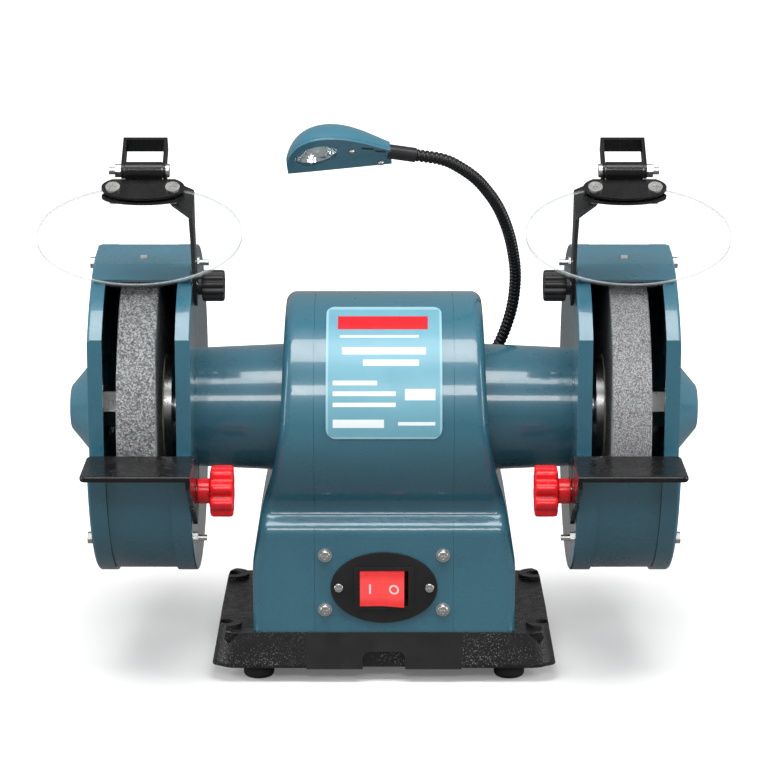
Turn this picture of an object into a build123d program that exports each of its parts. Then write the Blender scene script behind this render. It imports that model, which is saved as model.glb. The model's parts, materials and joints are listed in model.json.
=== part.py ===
from build123d import *
import math
import os

# Bench grinder: two wheels on one motor spindle, with guards, tool rests, eye shields and a work lamp.
# Millimetres. The origin is the centre of the four bench bolt holes, in the plane of the base's underside.
# +X runs along the spindle to the right, +Y to the back and +Z up.

# ---------------------------------------------------------------- driving dimensions
running_gap = 0.05          # radial, shaft in a plain hole
moving_gap = 0.3            # between pieces of two bodies that pass each other
seam = 0.2                  # between two covers that close on each other

base_length, base_depth, base_height = 229.0, 145.0, 25.0
end_draft, side_draft = 5.0, 1.5    # how far the ends and the front and back lean in over the height
base_corner, base_wall = 16.0, 6.0
bolt_spacing_x, bolt_spacing_y, bolt_hole_r = 210.0, 111.0, 4.7
pad_r, pad_rise = 10.5, 3.0
front_panel_half, front_panel_thick = 51.4, 5.0
notch_half, notch_rise = 14.0, 12.0
foot_x, foot_y, foot_r, foot_height = 83.6, 54.0, 10.2, 10.0
cover_thick = 1.5
foot_screw_r, foot_socket_r, foot_boss_r = 2.5, 5.0, 6.0
floor_opening_x, floor_opening_y = 40.0, 35.0      # half sizes of the hole under the motor
pocket_width, pocket_height, pocket_depth = 15.0, 7.5, 6.0   # three-sided pocket under each front pad
gland_r, gland_x, gland_collar, cable_r = 8.0, 60.0, 3.0, 4.0

spindle_height = 161.5
housing_r = 78.0
housing_wall = 4.0
housing_corner = 7.0
top_half, waist_half, skirt_half = 65.0, 66.8, 86.8
waist_height, skirt_height = 185.0, 62.0
skirt_depth, undercut_depth = 69.2, 60.3
undercut_angle = 37.0       # where the drum turns in, below the horizontal
undercut_mid, undercut_low = 104.0, 90.0
flare = [(72.0, 139.0), (79.0, 113.0), (85.0, 82.0)]    # half width at three heights between waist and skirt
center_half = 45.8          # the centre shell reaches this far each side
housing_bolt_x, housing_bolt_y, housing_bolt_r = 70.0, 48.0, 3.0
lug_r, lug_height = 9.0, 10.0
spigot_length, spigot_thick = 4.0, 2.0

neck_root_r, neck_end_r, neck_wall = 42.8, 40.0, 4.0
guard_inner_x, guard_width = 124.5, 66.0
neck_end_plate = 6.0
bearing_center_x, bearing_width = 108.0, 12.0
bearing_outer_r, bearing_bore_r = 20.0, 8.5
ball_r, ball_pitch_r, ball_count, ball_gap = 3.3, 14.25, 8, 0.1
ring_wall = 3.2

stator_half, stator_r, stator_bore_r = 24.0, 72.0, 41.0
slot_count, slot_depth, slot_width = 24, 18.0, 5.0
coil_length = 11.0
rotor_gap = 0.5
rotor_shaft_r = 12.0

wheel_r, wheel_width, wheel_x = 100.0, 25.0, 159.3
wheel_bore_r = 8.0
wheel_flange_r, wheel_flange_thick, blotter_thick = 34.0, 5.0, 0.8
nut_flat, nut_thick = 24.0, 11.0

guard_rim_r, guard_band_r, guard_wall = 109.5, 107.8, 2.0
rim_width, cover_rim_width = 13.0, 12.0
mouth_front_y = 88.0        # the mouth's flat front edge, ahead of the spindle
mouth_low, mouth_top_angle = -12.0, 63.0
lip_width = 9.5
cross_bolt_r, cross_bolt_circle = 2.0, 104.7
cross_bolt_angles = [79.0, -41.0, 199.0]
dome_root_r, dome_crown_r, dome_rise = 38.0, 14.0, 20.0
guard_screw_circle, guard_screw_r, guard_screw_head_r = 31.0, 2.5, 4.4
guard_screw_angles = [45, 135, 225, 315]
bolt_head_flat, bolt_head_thick, bolt_tail = 7.0, 3.0, 9.0

deflector_angles = [86.0, 69.5, 60.5]
deflector_slot_angle = 75.0
deflector_half, deflector_thick = 31.5, 2.0
deflector_travel = 2.4
deflector_neck, deflector_head_r, deflector_head_thick = 4.4, 3.2, 2.0

rest_thick, rest_depth = 4.0, 52.0
rest_drop = 7.3             # rest's top below the spindle axis
rest_gap = 3.0              # rest to wheel
rest_travel = 20.0
rest_half = 33.0
rest_leg_thick = 3.0
rest_stud_y, rest_stud_drop, stud_r = 88.0, 34.7, 4.0
rest_knob_r, rest_knob_thick, rest_hub_r, rest_hub_thick = 16.8, 15.0, 8.2, 8.5

arm_stud_y, arm_stud_rise, arm_stud_r = 45.0, 92.3, 3.0
arm_thick, arm_travel = 2.5, 20.0
arm_knob_r, arm_knob_thick, arm_hub_thick = 10.3, 14.5, 3.0

shield_x, shield_y, shield_z, shield_slope = 153.3, -110.0, 299.2, 33.0
shield_half_x, shield_half_s, shield_thick = 64.5, 46.0, 3.0
clamp_half_x, clamp_half_s, clamp_thick, clamp_s = 26.5, 11.0, 2.0, 41.0
clamp_screw_x, clamp_screw_r = 19.0, 2.0
hinge_s, hinge_n, hinge_r = 53.4, 6.0, 2.5
barrel_r, yoke_half, yoke_thick, yoke_width, yoke_web_s = 5.6, 14.2, 2.0, 10.5, 79.4
gusset_n, gusset_low, gusset_high = -10.0, 24.4, 51.0
arm_aim_s = 37.0            # the strap points at this place up the shield's slope

switch_z, switch_half_x, switch_half_z, switch_plate_thick = 56.0, 35.2, 24.0, 2.0
rocker_half_x, rocker_half_z, rocker_swing = 15.6, 11.8, 12.0
switch_slot_x, switch_slot_z, bezel_lip = 19.5, 14.2, 1.6
switch_screw_x, switch_screw_r, switch_head_r = 29.9, 1.6, 3.0
switch_case_depth, tab_length = 26.0, 7.0
panel_screw_r, panel_head_r, panel_washer_r = 2.0, 3.4, 4.6
panel_screw_x, panel_screw_low, panel_screw_high = 38.9, 40.7, 78.0
plate_half_x, plate_low_angle, plate_high_angle, plate_thick = 37.8, -2.0, 71.0, 0.5

neck_r = 4.15
neck_path = [(60.0, 95.0, 130.0), (63.5, 95.0, 156.0), (82.0, 90.5, 186.0), (90.0, 82.0, 214.0),
             (91.3, 70.0, 240.0), (86.5, 52.0, 268.0), (77.0, 30.0, 294.0), (61.0, 6.0, 317.0),
             (41.0, -11.0, 331.5), (20.5, -15.0, 335.0)]
neck_split = 5              # the neck flexes halfway along the run after this point
neck_gap = 0.35
collar_r, collar_length = 4.8, 18.5
lamp_origin, lamp_lean, lamp_roll = (4.5, -18.0, 336.1), 5.7, 50.0
lamp_sections = [(0.0, 7.0, 9.0), (10.0, 9.5, 13.5), (24.0, 13.0, 18.5), (38.0, 15.0, 20.5),
                 (55.0, 14.0, 17.5), (64.0, 10.0, 12.0), (68.5, 5.0, 6.0)]  # along, half width, height
lamp_wall, lamp_rim = 1.8, 2.5
window_at, window_long, window_wide, window_turn = 48.5, 14.5, 8.5, -14.0
bulb_r, reflector_height = 3.0, 9.0

# ---------------------------------------------------------------- worked-out sizes
guard_outer_x = guard_inner_x + guard_width
band_end_x = guard_outer_x - cover_rim_width
wheel_front = -wheel_r
rest_top = spindle_height - rest_drop
rest_back_y = wheel_front - rest_gap
inner_flange_x = wheel_x - wheel_width / 2 - blotter_thick - wheel_flange_thick
guard_mid_x = guard_inner_x + guard_width / 2
rest_stud_z = spindle_height - rest_stud_drop
arm_stud_z = spindle_height + arm_stud_rise
gland_z = (base_height - base_wall) / 2 + 1


# ---------------------------------------------------------------- small helpers
def rod_x(x0, x1, radius, y=0.0, z=spindle_height):
    return Pos((x0 + x1) / 2, y, z) * Rot(0, 90, 0) * Cylinder(radius, x1 - x0)


def tube_x(x0, x1, outer, inner, y=0.0, z=spindle_height):
    return rod_x(x0, x1, outer, y, z) - rod_x(x0 - 1, x1 + 1, inner, y, z)


def rod_y(y0, y1, radius, x, z):
    return Pos(x, (y0 + y1) / 2, z) * Rot(90, 0, 0) * Cylinder(radius, y1 - y0)


def rod_z(z0, z1, radius, x, y):
    return Pos(x, y, (z0 + z1) / 2) * Cylinder(radius, z1 - z0)


def block(x0, x1, y0, y1, z0, z1):
    return Pos((x0 + x1) / 2, (y0 + y1) / 2, (z0 + z1) / 2) * Box(x1 - x0, y1 - y0, z1 - z0)


def hex_x(x0, x1, flat, y=0.0, z=spindle_height):
    face = Plane.YZ.offset(x0) * Pos(y, z) * RegularPolygon(flat / math.sqrt(3), 6)
    return extrude(face, x1 - x0)


def cone_x(x0, x1, r0, r1):
    return Pos((x0 + x1) / 2, 0, spindle_height) * Rot(0, 90, 0) * Cone(r0, r1, x1 - x0)


def yz_plate(points, x0, x1):
    """A flat plate between x0 and x1 whose outline is a list of (y, z)."""
    return extrude(Plane.YZ.offset(x0) * make_face(Polyline(*points, close=True)), x1 - x0)


def at_angle(degrees, radius):
    """The (y, z) at an angle above the front, on a circle about the spindle."""
    a = math.radians(degrees)
    return -radius * math.cos(a), spindle_height + radius * math.sin(a)


def flipped(shape):
    return mirror(shape, about=Plane.YZ)


def group(shapes):
    solids = []
    for shape in shapes:
        solids += shape.solids()
    return Compound(solids)


def both_sides(shapes):
    return group(list(shapes) + [flipped(s) for s in shapes])


def write(name, shape):
    export_step(shape, "parts/" + name + ".step")


# ---------------------------------------------------------------- base
def base_block(inset, height, lift=0.0):
    length, depth = base_length - 2 * inset, base_depth - 2 * inset
    lean_x, lean_y = end_draft * height / base_height, side_draft * height / base_height
    low = RectangleRounded(length, depth, base_corner - inset)
    high = RectangleRounded(length - 2 * lean_x, depth - 2 * lean_y, base_corner - inset)
    return loft([Pos(0, 0, lift) * low, Pos(0, 0, lift + height) * high])


def corners(x, y):
    return [(sx * x, sy * y) for sx in (-1, 1) for sy in (-1, 1)]


def front_panel_space(gap):
    slab = block(-front_panel_half - gap, front_panel_half + gap, -base_depth, 0, -1, base_height + 1)
    return slab - Pos(0, base_depth / 2 + front_panel_thick + gap, 0) * block(
        -base_length, base_length, -base_depth, 0, -2, base_height + 2)


def make_base():
    outer = base_block(0, base_height)
    bottom_edges = outer.edges().group_by(Axis.Z)[0]
    outer = fillet(bottom_edges, 3)
    body = outer - base_block(base_wall, base_height - base_wall)
    tall = base_block(0, base_height + pad_rise)
    for x, y in corners(bolt_spacing_x / 2, bolt_spacing_y / 2):
        pad = rod_z(0, base_height + pad_rise, pad_r, x, y) & tall
        body = body + pad
        body = body - rod_z(-1, base_height + pad_rise + 1, bolt_hole_r, x, y)
    for x, y in corners(foot_x, foot_y):
        body = body + rod_z(cover_thick + 1, base_height - base_wall + 1, foot_boss_r, x, y)
        body = body - rod_z(0, base_height - base_wall - 2, foot_screw_r, x, y)
    body = body - front_panel_space(seam)
    body = body - block(-floor_opening_x, floor_opening_x, -floor_opening_y, floor_opening_y, 0, base_height + 1)
    body = body - make_pockets()
    for x, y in corners(housing_bolt_x, housing_bolt_y):
        body = body - rod_z(0, base_height + 1, housing_bolt_r + 0.3, x, y)
    return body - rod_y(0, base_depth, gland_r + running_gap, -gland_x, gland_z)


def make_pockets():
    """The three-sided pockets in the front face, one below each front bolt pad."""
    half = pocket_width / 2
    top = base_height - 1
    outline = make_face(Polyline((-half, top), (half, top), (0, top - pocket_height), close=True))
    wedge = extrude(Plane.XZ.offset(base_depth / 2 - pocket_depth) * outline, pocket_depth + 1)
    return [Pos(x, 0, 0) * wedge for x in (-bolt_spacing_x / 2 + 2, bolt_spacing_x / 2 - 2)]


def make_front_panel():
    panel = base_block(0, base_height) & front_panel_space(0)
    arch = block(-notch_half, notch_half, -base_depth, 0, -1, notch_rise)
    arch = fillet(arch.edges().filter_by(Axis.Y).group_by(Axis.Z)[-1], 5)
    return panel - arch


def make_bottom_cover():
    inset = base_wall + seam
    sheet = Pos(0, 0, 1) * extrude(RectangleRounded(
        base_length - 2 * inset - 2, base_depth - 2 * inset - 2, base_corner - inset), cover_thick)
    for x, y in corners(bolt_spacing_x / 2, bolt_spacing_y / 2):
        sheet = sheet - rod_z(0, 4, pad_r + seam, x, y)
    for x, y in corners(foot_x, foot_y):
        sheet = sheet - rod_z(0, 4, foot_screw_r + 0.2, x, y)
    return sheet


def make_feet():
    feet = []
    screws = []
    for x, y in corners(foot_x, foot_y):
        foot = rod_z(-foot_height, 1, foot_r, x, y)
        foot = fillet(foot.edges().group_by(Axis.Z)[0], 3)
        foot = foot - rod_z(-foot_height - 1, -3, foot_socket_r, x, y) - rod_z(-4, 2, foot_screw_r + 0.1, x, y)
        feet.append(foot)
        screws.append(rod_z(-6, -3, 4.5, x, y) + rod_z(-3, base_height - base_wall - 2.5, foot_screw_r, x, y))
    return feet, screws


def make_gland():
    back = base_depth / 2
    gland = rod_y(back - base_wall - 3, back + 5, gland_r, -gland_x, gland_z)
    gland = gland + rod_y(back + 0.5, back + 8, gland_r + gland_collar, -gland_x, gland_z)
    return gland - rod_y(0, 2 * base_depth, cable_r, -gland_x, gland_z)


# ---------------------------------------------------------------- motor housing
def front_outline(inset):
    """Front view of the housing: straight sides that flare into the skirt."""
    top = spindle_height + housing_r + 10
    rise = [(waist_half, waist_height)] + flare + [(skirt_half, skirt_height)]
    rise = [(x - inset, z) for x, z in rise]
    fall = [(-x, z) for x, z in reversed(rise)]
    lean = (waist_half - top_half) / (spindle_height + housing_r - waist_height)
    edge = top_half - inset - lean * 10
    lines = [
        Line((edge, top), rise[0]),
        Spline(*rise, tangents=[(lean, -1), (0, -1)]),
        Line(rise[-1], (skirt_half - inset, base_height)),
        Line((skirt_half - inset, base_height), (inset - skirt_half, base_height)),
        Line((inset - skirt_half, base_height), fall[0]),
        Spline(*fall, tangents=[(0, 1), (lean, 1)]),
        Line(fall[-1], (-edge, top)),
        Line((-edge, top), (edge, top)),
    ]
    return Plane.XZ * make_face(lines)


def side_outline(inset):
    """Side view of the housing: a drum that tucks in below and then drops to the skirt."""
    a = math.radians(undercut_angle)
    radius = housing_r - inset
    tuck = (radius * math.cos(a), spindle_height - radius * math.sin(a))
    mid = (undercut_depth - inset, undercut_mid + inset * 0.5)
    edge = (skirt_depth - inset, undercut_low)
    foot = (skirt_depth - inset, base_height)
    lines = [
        CenterArc((0, spindle_height), radius, -undercut_angle, 180 + 2 * undercut_angle),
        Spline((-tuck[0], tuck[1]), (-mid[0], mid[1]), (-edge[0], edge[1]),
               tangents=[(math.sin(a), -math.cos(a)), (0, -1)]),
        Line((-edge[0], edge[1]), (-foot[0], foot[1])),
        Line((-foot[0], foot[1]), foot),
        Line(foot, edge),
        Spline(edge, mid, tuck, tangents=[(0, 1), (math.sin(a), math.cos(a))]),
    ]
    return Plane.YZ * make_face(lines)


def housing_form(inset):
    front = Pos(0, 150, 0) * extrude(front_outline(inset), 300)
    side = Pos(-150, 0, 0) * extrude(side_outline(inset), 300)
    return front & side


def make_housing():
    outer = housing_form(0)
    end_edges = [e for e in outer.edges()
                 if e.bounding_box().size.X < 60 and e.bounding_box().max.Z > base_height + 1]
    outer = fillet(end_edges, housing_corner)
    inner = housing_form(housing_wall)
    lower = block(-skirt_half + housing_wall, skirt_half - housing_wall, housing_wall - skirt_depth,
                  skirt_depth - housing_wall, base_height - 1, base_height + 1)
    shell = outer - inner - lower
    centre = shell & block(-center_half + seam, center_half - seam, -100, 100, 0, 300)
    for x in (-panel_screw_x, panel_screw_x):
        for z in (panel_screw_low, panel_screw_high):
            centre = centre - rod_y(-80, -50, panel_screw_r + 0.2, x, z)
    slot = switch_slot_x + 0.3
    centre = centre - block(-slot, slot, -80, -50, switch_z - switch_slot_z - 0.3, switch_z + switch_slot_z + 0.3)
    for x in (-switch_screw_x, switch_screw_x):
        centre = centre - rod_y(-80, -50, switch_screw_r + 0.1, x, switch_z)
    spigot = (housing_form(housing_wall + seam) - housing_form(housing_wall + spigot_thick)) & block(
        center_half - spigot_length, center_half, -100, 100, base_height + 2, 300)
    spigot = spigot + ((housing_form(housing_wall) - housing_form(housing_wall + spigot_thick)) & block(
        center_half, center_half + 2, -100, 100, base_height + 2, 300))
    bell = (shell & block(center_half, 200, -100, 100, 0, 300)) + spigot
    neck_x = waist_half - 6
    bell = bell + cone_x(neck_x, guard_inner_x, neck_root_r, neck_end_r)
    bell = bell - rod_x(neck_x - 12, neck_x + 1, neck_root_r - neck_wall)
    bell = bell - cone_x(neck_x - 0.5, guard_inner_x - neck_end_plate,
                         neck_root_r - neck_wall, neck_end_r - neck_wall)
    seat0 = bearing_center_x - bearing_width / 2
    boss = rod_x(seat0 - 2, guard_inner_x, bearing_outer_r + 6)
    web = rod_x(seat0 - 2, guard_inner_x - 1, neck_end_r - neck_wall + 1)
    bell = bell + boss + web
    bell = bell - rod_x(seat0 - 3, guard_inner_x - neck_end_plate, bearing_outer_r)
    bell = bell - rod_x(seat0 - 3, guard_inner_x + 1, rotor_shaft_r + 1)
    for a in guard_screw_angles:
        y, z = at_angle(a, guard_screw_circle)
        bell = bell - rod_x(guard_inner_x - 12, guard_inner_x + 1, guard_screw_r, y, z)
    for y in (-housing_bolt_y, housing_bolt_y):
        lug_top = base_height + lug_height
        lug = block(housing_bolt_x - lug_r, skirt_half - 2, min(y, y * 1.4), max(y, y * 1.4),
                    base_height, lug_top) & housing_form(1)
        lug = lug + rod_z(base_height, lug_top, lug_r, housing_bolt_x, y)
        bell = bell + lug
        bell = bell - rod_z(0, lug_top + 1, housing_bolt_r, housing_bolt_x, y)
    return centre, bell


def make_housing_bolts():
    bolts = []
    for x, y in corners(housing_bolt_x, housing_bolt_y):
        low = base_height - base_wall
        bolts.append(rod_z(low - 4, low, 5, x, y) + rod_z(low, base_height + lug_height, housing_bolt_r, x, y))
    return group(bolts)


def make_panel_screws():
    screws = []
    for x in (-panel_screw_x, panel_screw_x):
        for z in (panel_screw_low, panel_screw_high):
            face = -skirt_depth
            washer = rod_y(face - 1.2, face, panel_washer_r, x, z)
            head = rod_y(face - 3.6, face - 1.2, panel_head_r, x, z)
            head = fillet(head.edges().group_by(Axis.Y)[0], 1)
            head = head - block(x - 2.2, x + 2.2, face - 4, face - 2.6, z - 0.4, z + 0.4)
            head = head - block(x - 0.4, x + 0.4, face - 4, face - 2.6, z - 2.2, z + 2.2)
            screws.append(washer + head + rod_y(face - 2, face + 10, panel_screw_r, x, z))
    return group(screws)


def make_nameplate():
    ring = tube_x(-plate_half_x, plate_half_x, housing_r + plate_thick, housing_r)
    mid = (plate_low_angle + plate_high_angle) / 2
    half = housing_r * math.sin(math.radians((plate_high_angle - plate_low_angle) / 2))
    window = extrude(RectangleRounded(2 * plate_half_x, 2 * half, 6), housing_r * 1.2)
    window = Pos(0, 0, spindle_height) * Rot(90 - mid, 0, 0) * window
    return ring & window


# ---------------------------------------------------------------- switch
def make_switch():
    face = -skirt_depth
    oval = Plane.XZ.offset(-face) * Pos(0, switch_z) * Ellipse(switch_half_x, switch_half_z)
    plate = extrude(oval, switch_plate_thick)
    front = face - switch_plate_thick
    opening_x, opening_z = switch_slot_x - bezel_lip, switch_slot_z - bezel_lip
    plate = plate - block(-opening_x, opening_x, -100, -50, switch_z - opening_z, switch_z + opening_z)
    for x in (-switch_screw_x, switch_screw_x):
        plate = plate - rod_y(-100, -50, switch_screw_r + 0.2, x, switch_z)
    inner_x, inner_z = rocker_half_x + 0.4, rocker_half_z + 0.4
    bezel = block(-switch_slot_x, switch_slot_x, front - 2, front, switch_z - switch_slot_z, switch_z + switch_slot_z)
    bezel = fillet(bezel.edges().filter_by(Axis.Y), 1.5)
    case = block(-opening_x + 0.1, opening_x - 0.1, front, face + switch_case_depth, switch_z - opening_z + 0.1,
                 switch_z + opening_z - 0.1)
    pocket = block(-inner_x, inner_x, front - 3, face + 18, switch_z - inner_z, switch_z + inner_z)
    case = bezel + case - pocket
    tab_back = face + switch_case_depth + tab_length
    for x in (-12, 0, 12):
        case = case + block(x - 0.4, x + 0.4, face + switch_case_depth - 0.1, tab_back, switch_z - 3, switch_z + 3)
    pivot_y = face + 6
    case = case - rod_z(switch_z - inner_z - 1.5, switch_z + inner_z + 1.5, 1.5, 0, pivot_y)
    crown = front - 2.2
    half = rocker_half_x - 1.0
    outline = Polyline((-half, crown - 2.4), (0, crown), (half, crown - 2.4),
                       (half - 1.2, face + 9), (3, face + 12), (-3, face + 12), (-half + 1.2, face + 9), close=True)
    rocker = Pos(0, 0, switch_z - rocker_half_z) * extrude(make_face(outline), 2 * rocker_half_z)
    rocker = Pos(0, pivot_y, 0) * Rot(0, 0, -rocker_swing / 2) * Pos(0, -pivot_y, 0) * rocker
    rocker = rocker + rod_z(switch_z - inner_z - 1.2, switch_z + inner_z + 1.2, 1.5 - running_gap, 0, pivot_y)
    screws = []
    for x in (-switch_screw_x, switch_screw_x):
        head = rod_y(front - 1.6, front, switch_head_r, x, switch_z)
        head = fillet(head.edges().group_by(Axis.Y)[0], 0.8)
        head = head - block(x - 2, x + 2, front - 2, front - 1, switch_z - 0.35, switch_z + 0.35)
        screws.append(head + rod_y(front, face + 3.5, switch_screw_r, x, switch_z))
    return plate, case, rocker, group(screws)


# ---------------------------------------------------------------- motor insides
def make_stator():
    core = tube_x(-stator_half, stator_half, stator_r, stator_bore_r)
    slots = []
    coils = []
    for i in range(slot_count):
        turn = Pos(0, 0, spindle_height) * Rot(i * 360 / slot_count, 0, 0) * Pos(0, 0, -spindle_height)
        z0 = spindle_height + stator_bore_r + 3
        slot = block(-stator_half - 1, stator_half + 1, -slot_width / 2, slot_width / 2, z0, z0 + slot_depth)
        neck = block(-stator_half - 1, stator_half + 1, -1.2, 1.2, z0 - 5, z0 + 1)
        slots.append(turn * (slot + neck))
        side = slot_width / 2 - 0.3
        coils.append(turn * block(-stator_half - 1, stator_half + 1, -side, side, z0 + 0.3, z0 + slot_depth - 0.3))
    core = core - slots
    ring0, ring1 = stator_bore_r + 3.5, stator_bore_r + 3 + slot_depth - 0.5
    winding = coils[0].fuse(*coils[1:])
    for s in (-1, 1):
        ring = tube_x(stator_half + 0.5, stator_half + coil_length, ring1, ring0)
        ring = fillet(ring.edges().filter_by(GeomType.CIRCLE).group_by(Axis.X)[-1], 3)
        winding = winding + (ring if s > 0 else flipped(ring))
    return core, winding


def make_capacitor():
    can = rod_x(-22, 22, 11, 38, 52)
    strap = tube_x(-4, 4, 12.2, 11.1, 38, 52) + block(-4, 4, 48.6, skirt_depth - housing_wall, 50.5, 53.5)
    return can, strap - rod_x(-5, 5, 11.1, 38, 52)


# ---------------------------------------------------------------- spindle, bearings and wheels
def make_spindle():
    seat0 = bearing_center_x - bearing_width / 2
    seat1 = bearing_center_x + bearing_width / 2
    tip = wheel_x + wheel_width / 2 + blotter_thick + wheel_flange_thick + nut_thick + 4
    half = rod_x(0, seat0, rotor_shaft_r) + rod_x(seat0, seat1 + 5, bearing_bore_r)
    half = half + rod_x(seat1 + 5, inner_flange_x, rotor_shaft_r - 2)
    half = half + rod_x(inner_flange_x - 0.5, tip, wheel_bore_r)
    shaft = half + flipped(half)
    tips = shaft.edges().filter_by(GeomType.CIRCLE)
    ends = tips.group_by(Axis.X)[0] + tips.group_by(Axis.X)[-1]
    return chamfer(ends, 1)


def make_rotor():
    core = tube_x(-stator_half, stator_half, stator_bore_r - rotor_gap, rotor_shaft_r)
    for s in (-1, 1):
        x0 = stator_half if s > 0 else -stator_half - 6
        core = core + tube_x(x0, x0 + 6, stator_bore_r - rotor_gap - 2, stator_bore_r - 16)
    return core


def make_bearing():
    x0 = bearing_center_x - bearing_width / 2
    x1 = bearing_center_x + bearing_width / 2
    groove = Pos(bearing_center_x, 0, spindle_height) * Rot(0, 90, 0) * Torus(ball_pitch_r, ball_r + ball_gap)
    outer = tube_x(x0, x1, bearing_outer_r, bearing_outer_r - ring_wall) - groove
    inner = tube_x(x0, x1, bearing_bore_r + ring_wall, bearing_bore_r) - groove
    balls = []
    for i in range(ball_count):
        a = math.radians(i * 360 / ball_count)
        balls.append(Pos(bearing_center_x, ball_pitch_r * math.cos(a),
                         spindle_height + ball_pitch_r * math.sin(a)) * Sphere(ball_r))
    return outer, inner, balls


def make_wheel():
    x0, x1 = wheel_x - wheel_width / 2, wheel_x + wheel_width / 2
    wheel = tube_x(x0, x1, wheel_r, wheel_bore_r)
    rims = wheel.edges().filter_by(GeomType.CIRCLE).filter_by(lambda e: e.radius > wheel_r - 1)
    wheel = chamfer(rims, 0.6)
    blotters = [tube_x(x0 - blotter_thick, x0, wheel_flange_r + 2, wheel_bore_r),
                tube_x(x1, x1 + blotter_thick, wheel_flange_r + 2, wheel_bore_r)]
    inner = tube_x(inner_flange_x, x0 - blotter_thick, wheel_flange_r, wheel_bore_r)
    outer = tube_x(x1 + blotter_thick, x1 + blotter_thick + wheel_flange_thick, wheel_flange_r, wheel_bore_r)
    relief0 = tube_x(x0 - blotter_thick - 1, x0 - blotter_thick + 1, wheel_flange_r - 8, wheel_bore_r + 3)
    relief1 = tube_x(x1 + blotter_thick - 1, x1 + blotter_thick + 1, wheel_flange_r - 8, wheel_bore_r + 3)
    nut0 = x1 + blotter_thick + wheel_flange_thick
    nut = hex_x(nut0, nut0 + nut_thick, nut_flat) - rod_x(nut0 - 1, nut0 + 20, wheel_bore_r)
    return wheel, blotters, [inner - relief0, outer - relief1], nut


# ---------------------------------------------------------------- guards
def guard_section(radius):
    """The drum's side view: a circle with a flat front edge at the mouth."""
    disc = Plane.YZ * Pos(0, spindle_height) * Circle(radius)
    shelf = spindle_height + mouth_low
    reach = math.sqrt(max(radius ** 2 - mouth_front_y ** 2, 1.0))
    ahead = Plane.YZ * Pos(-mouth_front_y - 50, (shelf + spindle_height + reach + 20) / 2) * Rectangle(
        100, spindle_height + reach + 20 - shelf)
    return disc - ahead


def guard_drum(x0, x1, radius):
    return Pos(x0, 0, 0) * extrude(guard_section(radius), x1 - x0)


def guard_tub(x0, x1, radius, wall):
    """A slice of the drum with its inside cut away, with the wall kept at the flat front too."""
    inside = Plane.YZ * Pos(0, spindle_height) * Circle(radius - wall)
    shelf = spindle_height + mouth_low
    ahead = Plane.YZ * Pos(wall - mouth_front_y - 50, shelf - wall + 60) * Rectangle(100, 120)
    inside = inside - ahead
    return guard_drum(x0, x1, radius) - Pos(x0 - 1, 0, 0) * extrude(inside, x1 - x0 + 2)


def mouth_cut():
    y1, z1 = at_angle(mouth_top_angle, guard_rim_r + 5)
    shelf = spindle_height + mouth_low - guard_wall - 1
    points = [(-130, shelf), (-70, shelf), (-70, spindle_height + 40), (y1 + 18, z1 - 14), (y1, z1),
              (-130, z1)]
    return yz_plate(points, guard_inner_x + lip_width, guard_outer_x - lip_width)


def bolt_channels(radius):
    cuts = []
    for a in cross_bolt_angles:
        y, z = at_angle(a, cross_bolt_circle)
        cuts.append(rod_x(guard_inner_x - 1, guard_outer_x + 1, radius, y, z))
    return cuts


def make_guard():
    x0 = guard_inner_x
    back = guard_drum(x0, x0 + guard_wall, guard_rim_r)
    back = back + guard_tub(x0 + guard_wall - 0.1, x0 + rim_width, guard_rim_r, guard_rim_r - guard_band_r + guard_wall)
    back = back + guard_tub(x0 + rim_width - 0.1, band_end_x - seam, guard_band_r, guard_wall)
    rim_edges = [e for e in back.edges().group_by(Axis.X)[0] if e.geom_type == GeomType.CIRCLE]
    back = fillet(rim_edges, 1.2)
    back = back - mouth_cut()
    back = back - rod_x(x0 - 1, x0 + guard_wall + 1, rotor_shaft_r + 3)
    for a in guard_screw_angles:
        y, z = at_angle(a, guard_screw_circle)
        back = back - rod_x(x0 - 1, x0 + guard_wall + 1, guard_screw_r + 0.2, y, z)
    back = back - bolt_channels(cross_bolt_r + 0.2)
    back = back - deflector_frame(guard_band_r) * Pos(0, -deflector_travel / 2, 0) * Box(
        deflector_neck + 0.2, deflector_neck + 0.2, 8)
    back = back - rod_x(x0 - 1, x0 + 5, stud_r, -rest_stud_y, rest_stud_z)
    back = back - rod_x(x0 - 1, x0 + 5, arm_stud_r, -arm_stud_y, arm_stud_z)
    cover = guard_tub(band_end_x, guard_outer_x, guard_rim_r, guard_rim_r - guard_band_r + guard_wall)
    cover = cover + guard_drum(guard_outer_x - guard_wall, guard_outer_x, guard_rim_r)
    dome_x = guard_outer_x - 0.1
    cover = cover + cone_x(dome_x, dome_x + dome_rise, dome_root_r, dome_crown_r)
    crown = cover.edges().filter_by(GeomType.CIRCLE).group_by(Axis.X)[-1]
    cover = fillet(crown, 5)
    rim_edges = [e for e in cover.edges().filter_by(GeomType.CIRCLE)
                 if e.radius > guard_rim_r - 1 and e.center().X > guard_outer_x - 1]
    cover = fillet(rim_edges, 2)
    hollow = cone_x(dome_x - guard_wall - 1, dome_x + dome_rise - guard_wall,
                    dome_root_r - guard_wall + 1, dome_crown_r - guard_wall)
    cover = cover - hollow
    cover = cover - mouth_cut()
    cover = cover - bolt_channels(cross_bolt_r + 0.2)
    return back, cover


def make_guard_bolts():
    bolts = []
    for a in cross_bolt_angles:
        y, z = at_angle(a, cross_bolt_circle)
        bolt = rod_x(guard_inner_x - bolt_tail, guard_outer_x + 1, cross_bolt_r, y, z)
        bolt = bolt + hex_x(guard_outer_x, guard_outer_x + bolt_head_thick, bolt_head_flat, y, z)
        nut = hex_x(guard_inner_x - bolt_head_thick, guard_inner_x, bolt_head_flat, y, z)
        bolts += [bolt, nut - rod_x(110, 130, cross_bolt_r, y, z)]
    return bolts


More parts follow.
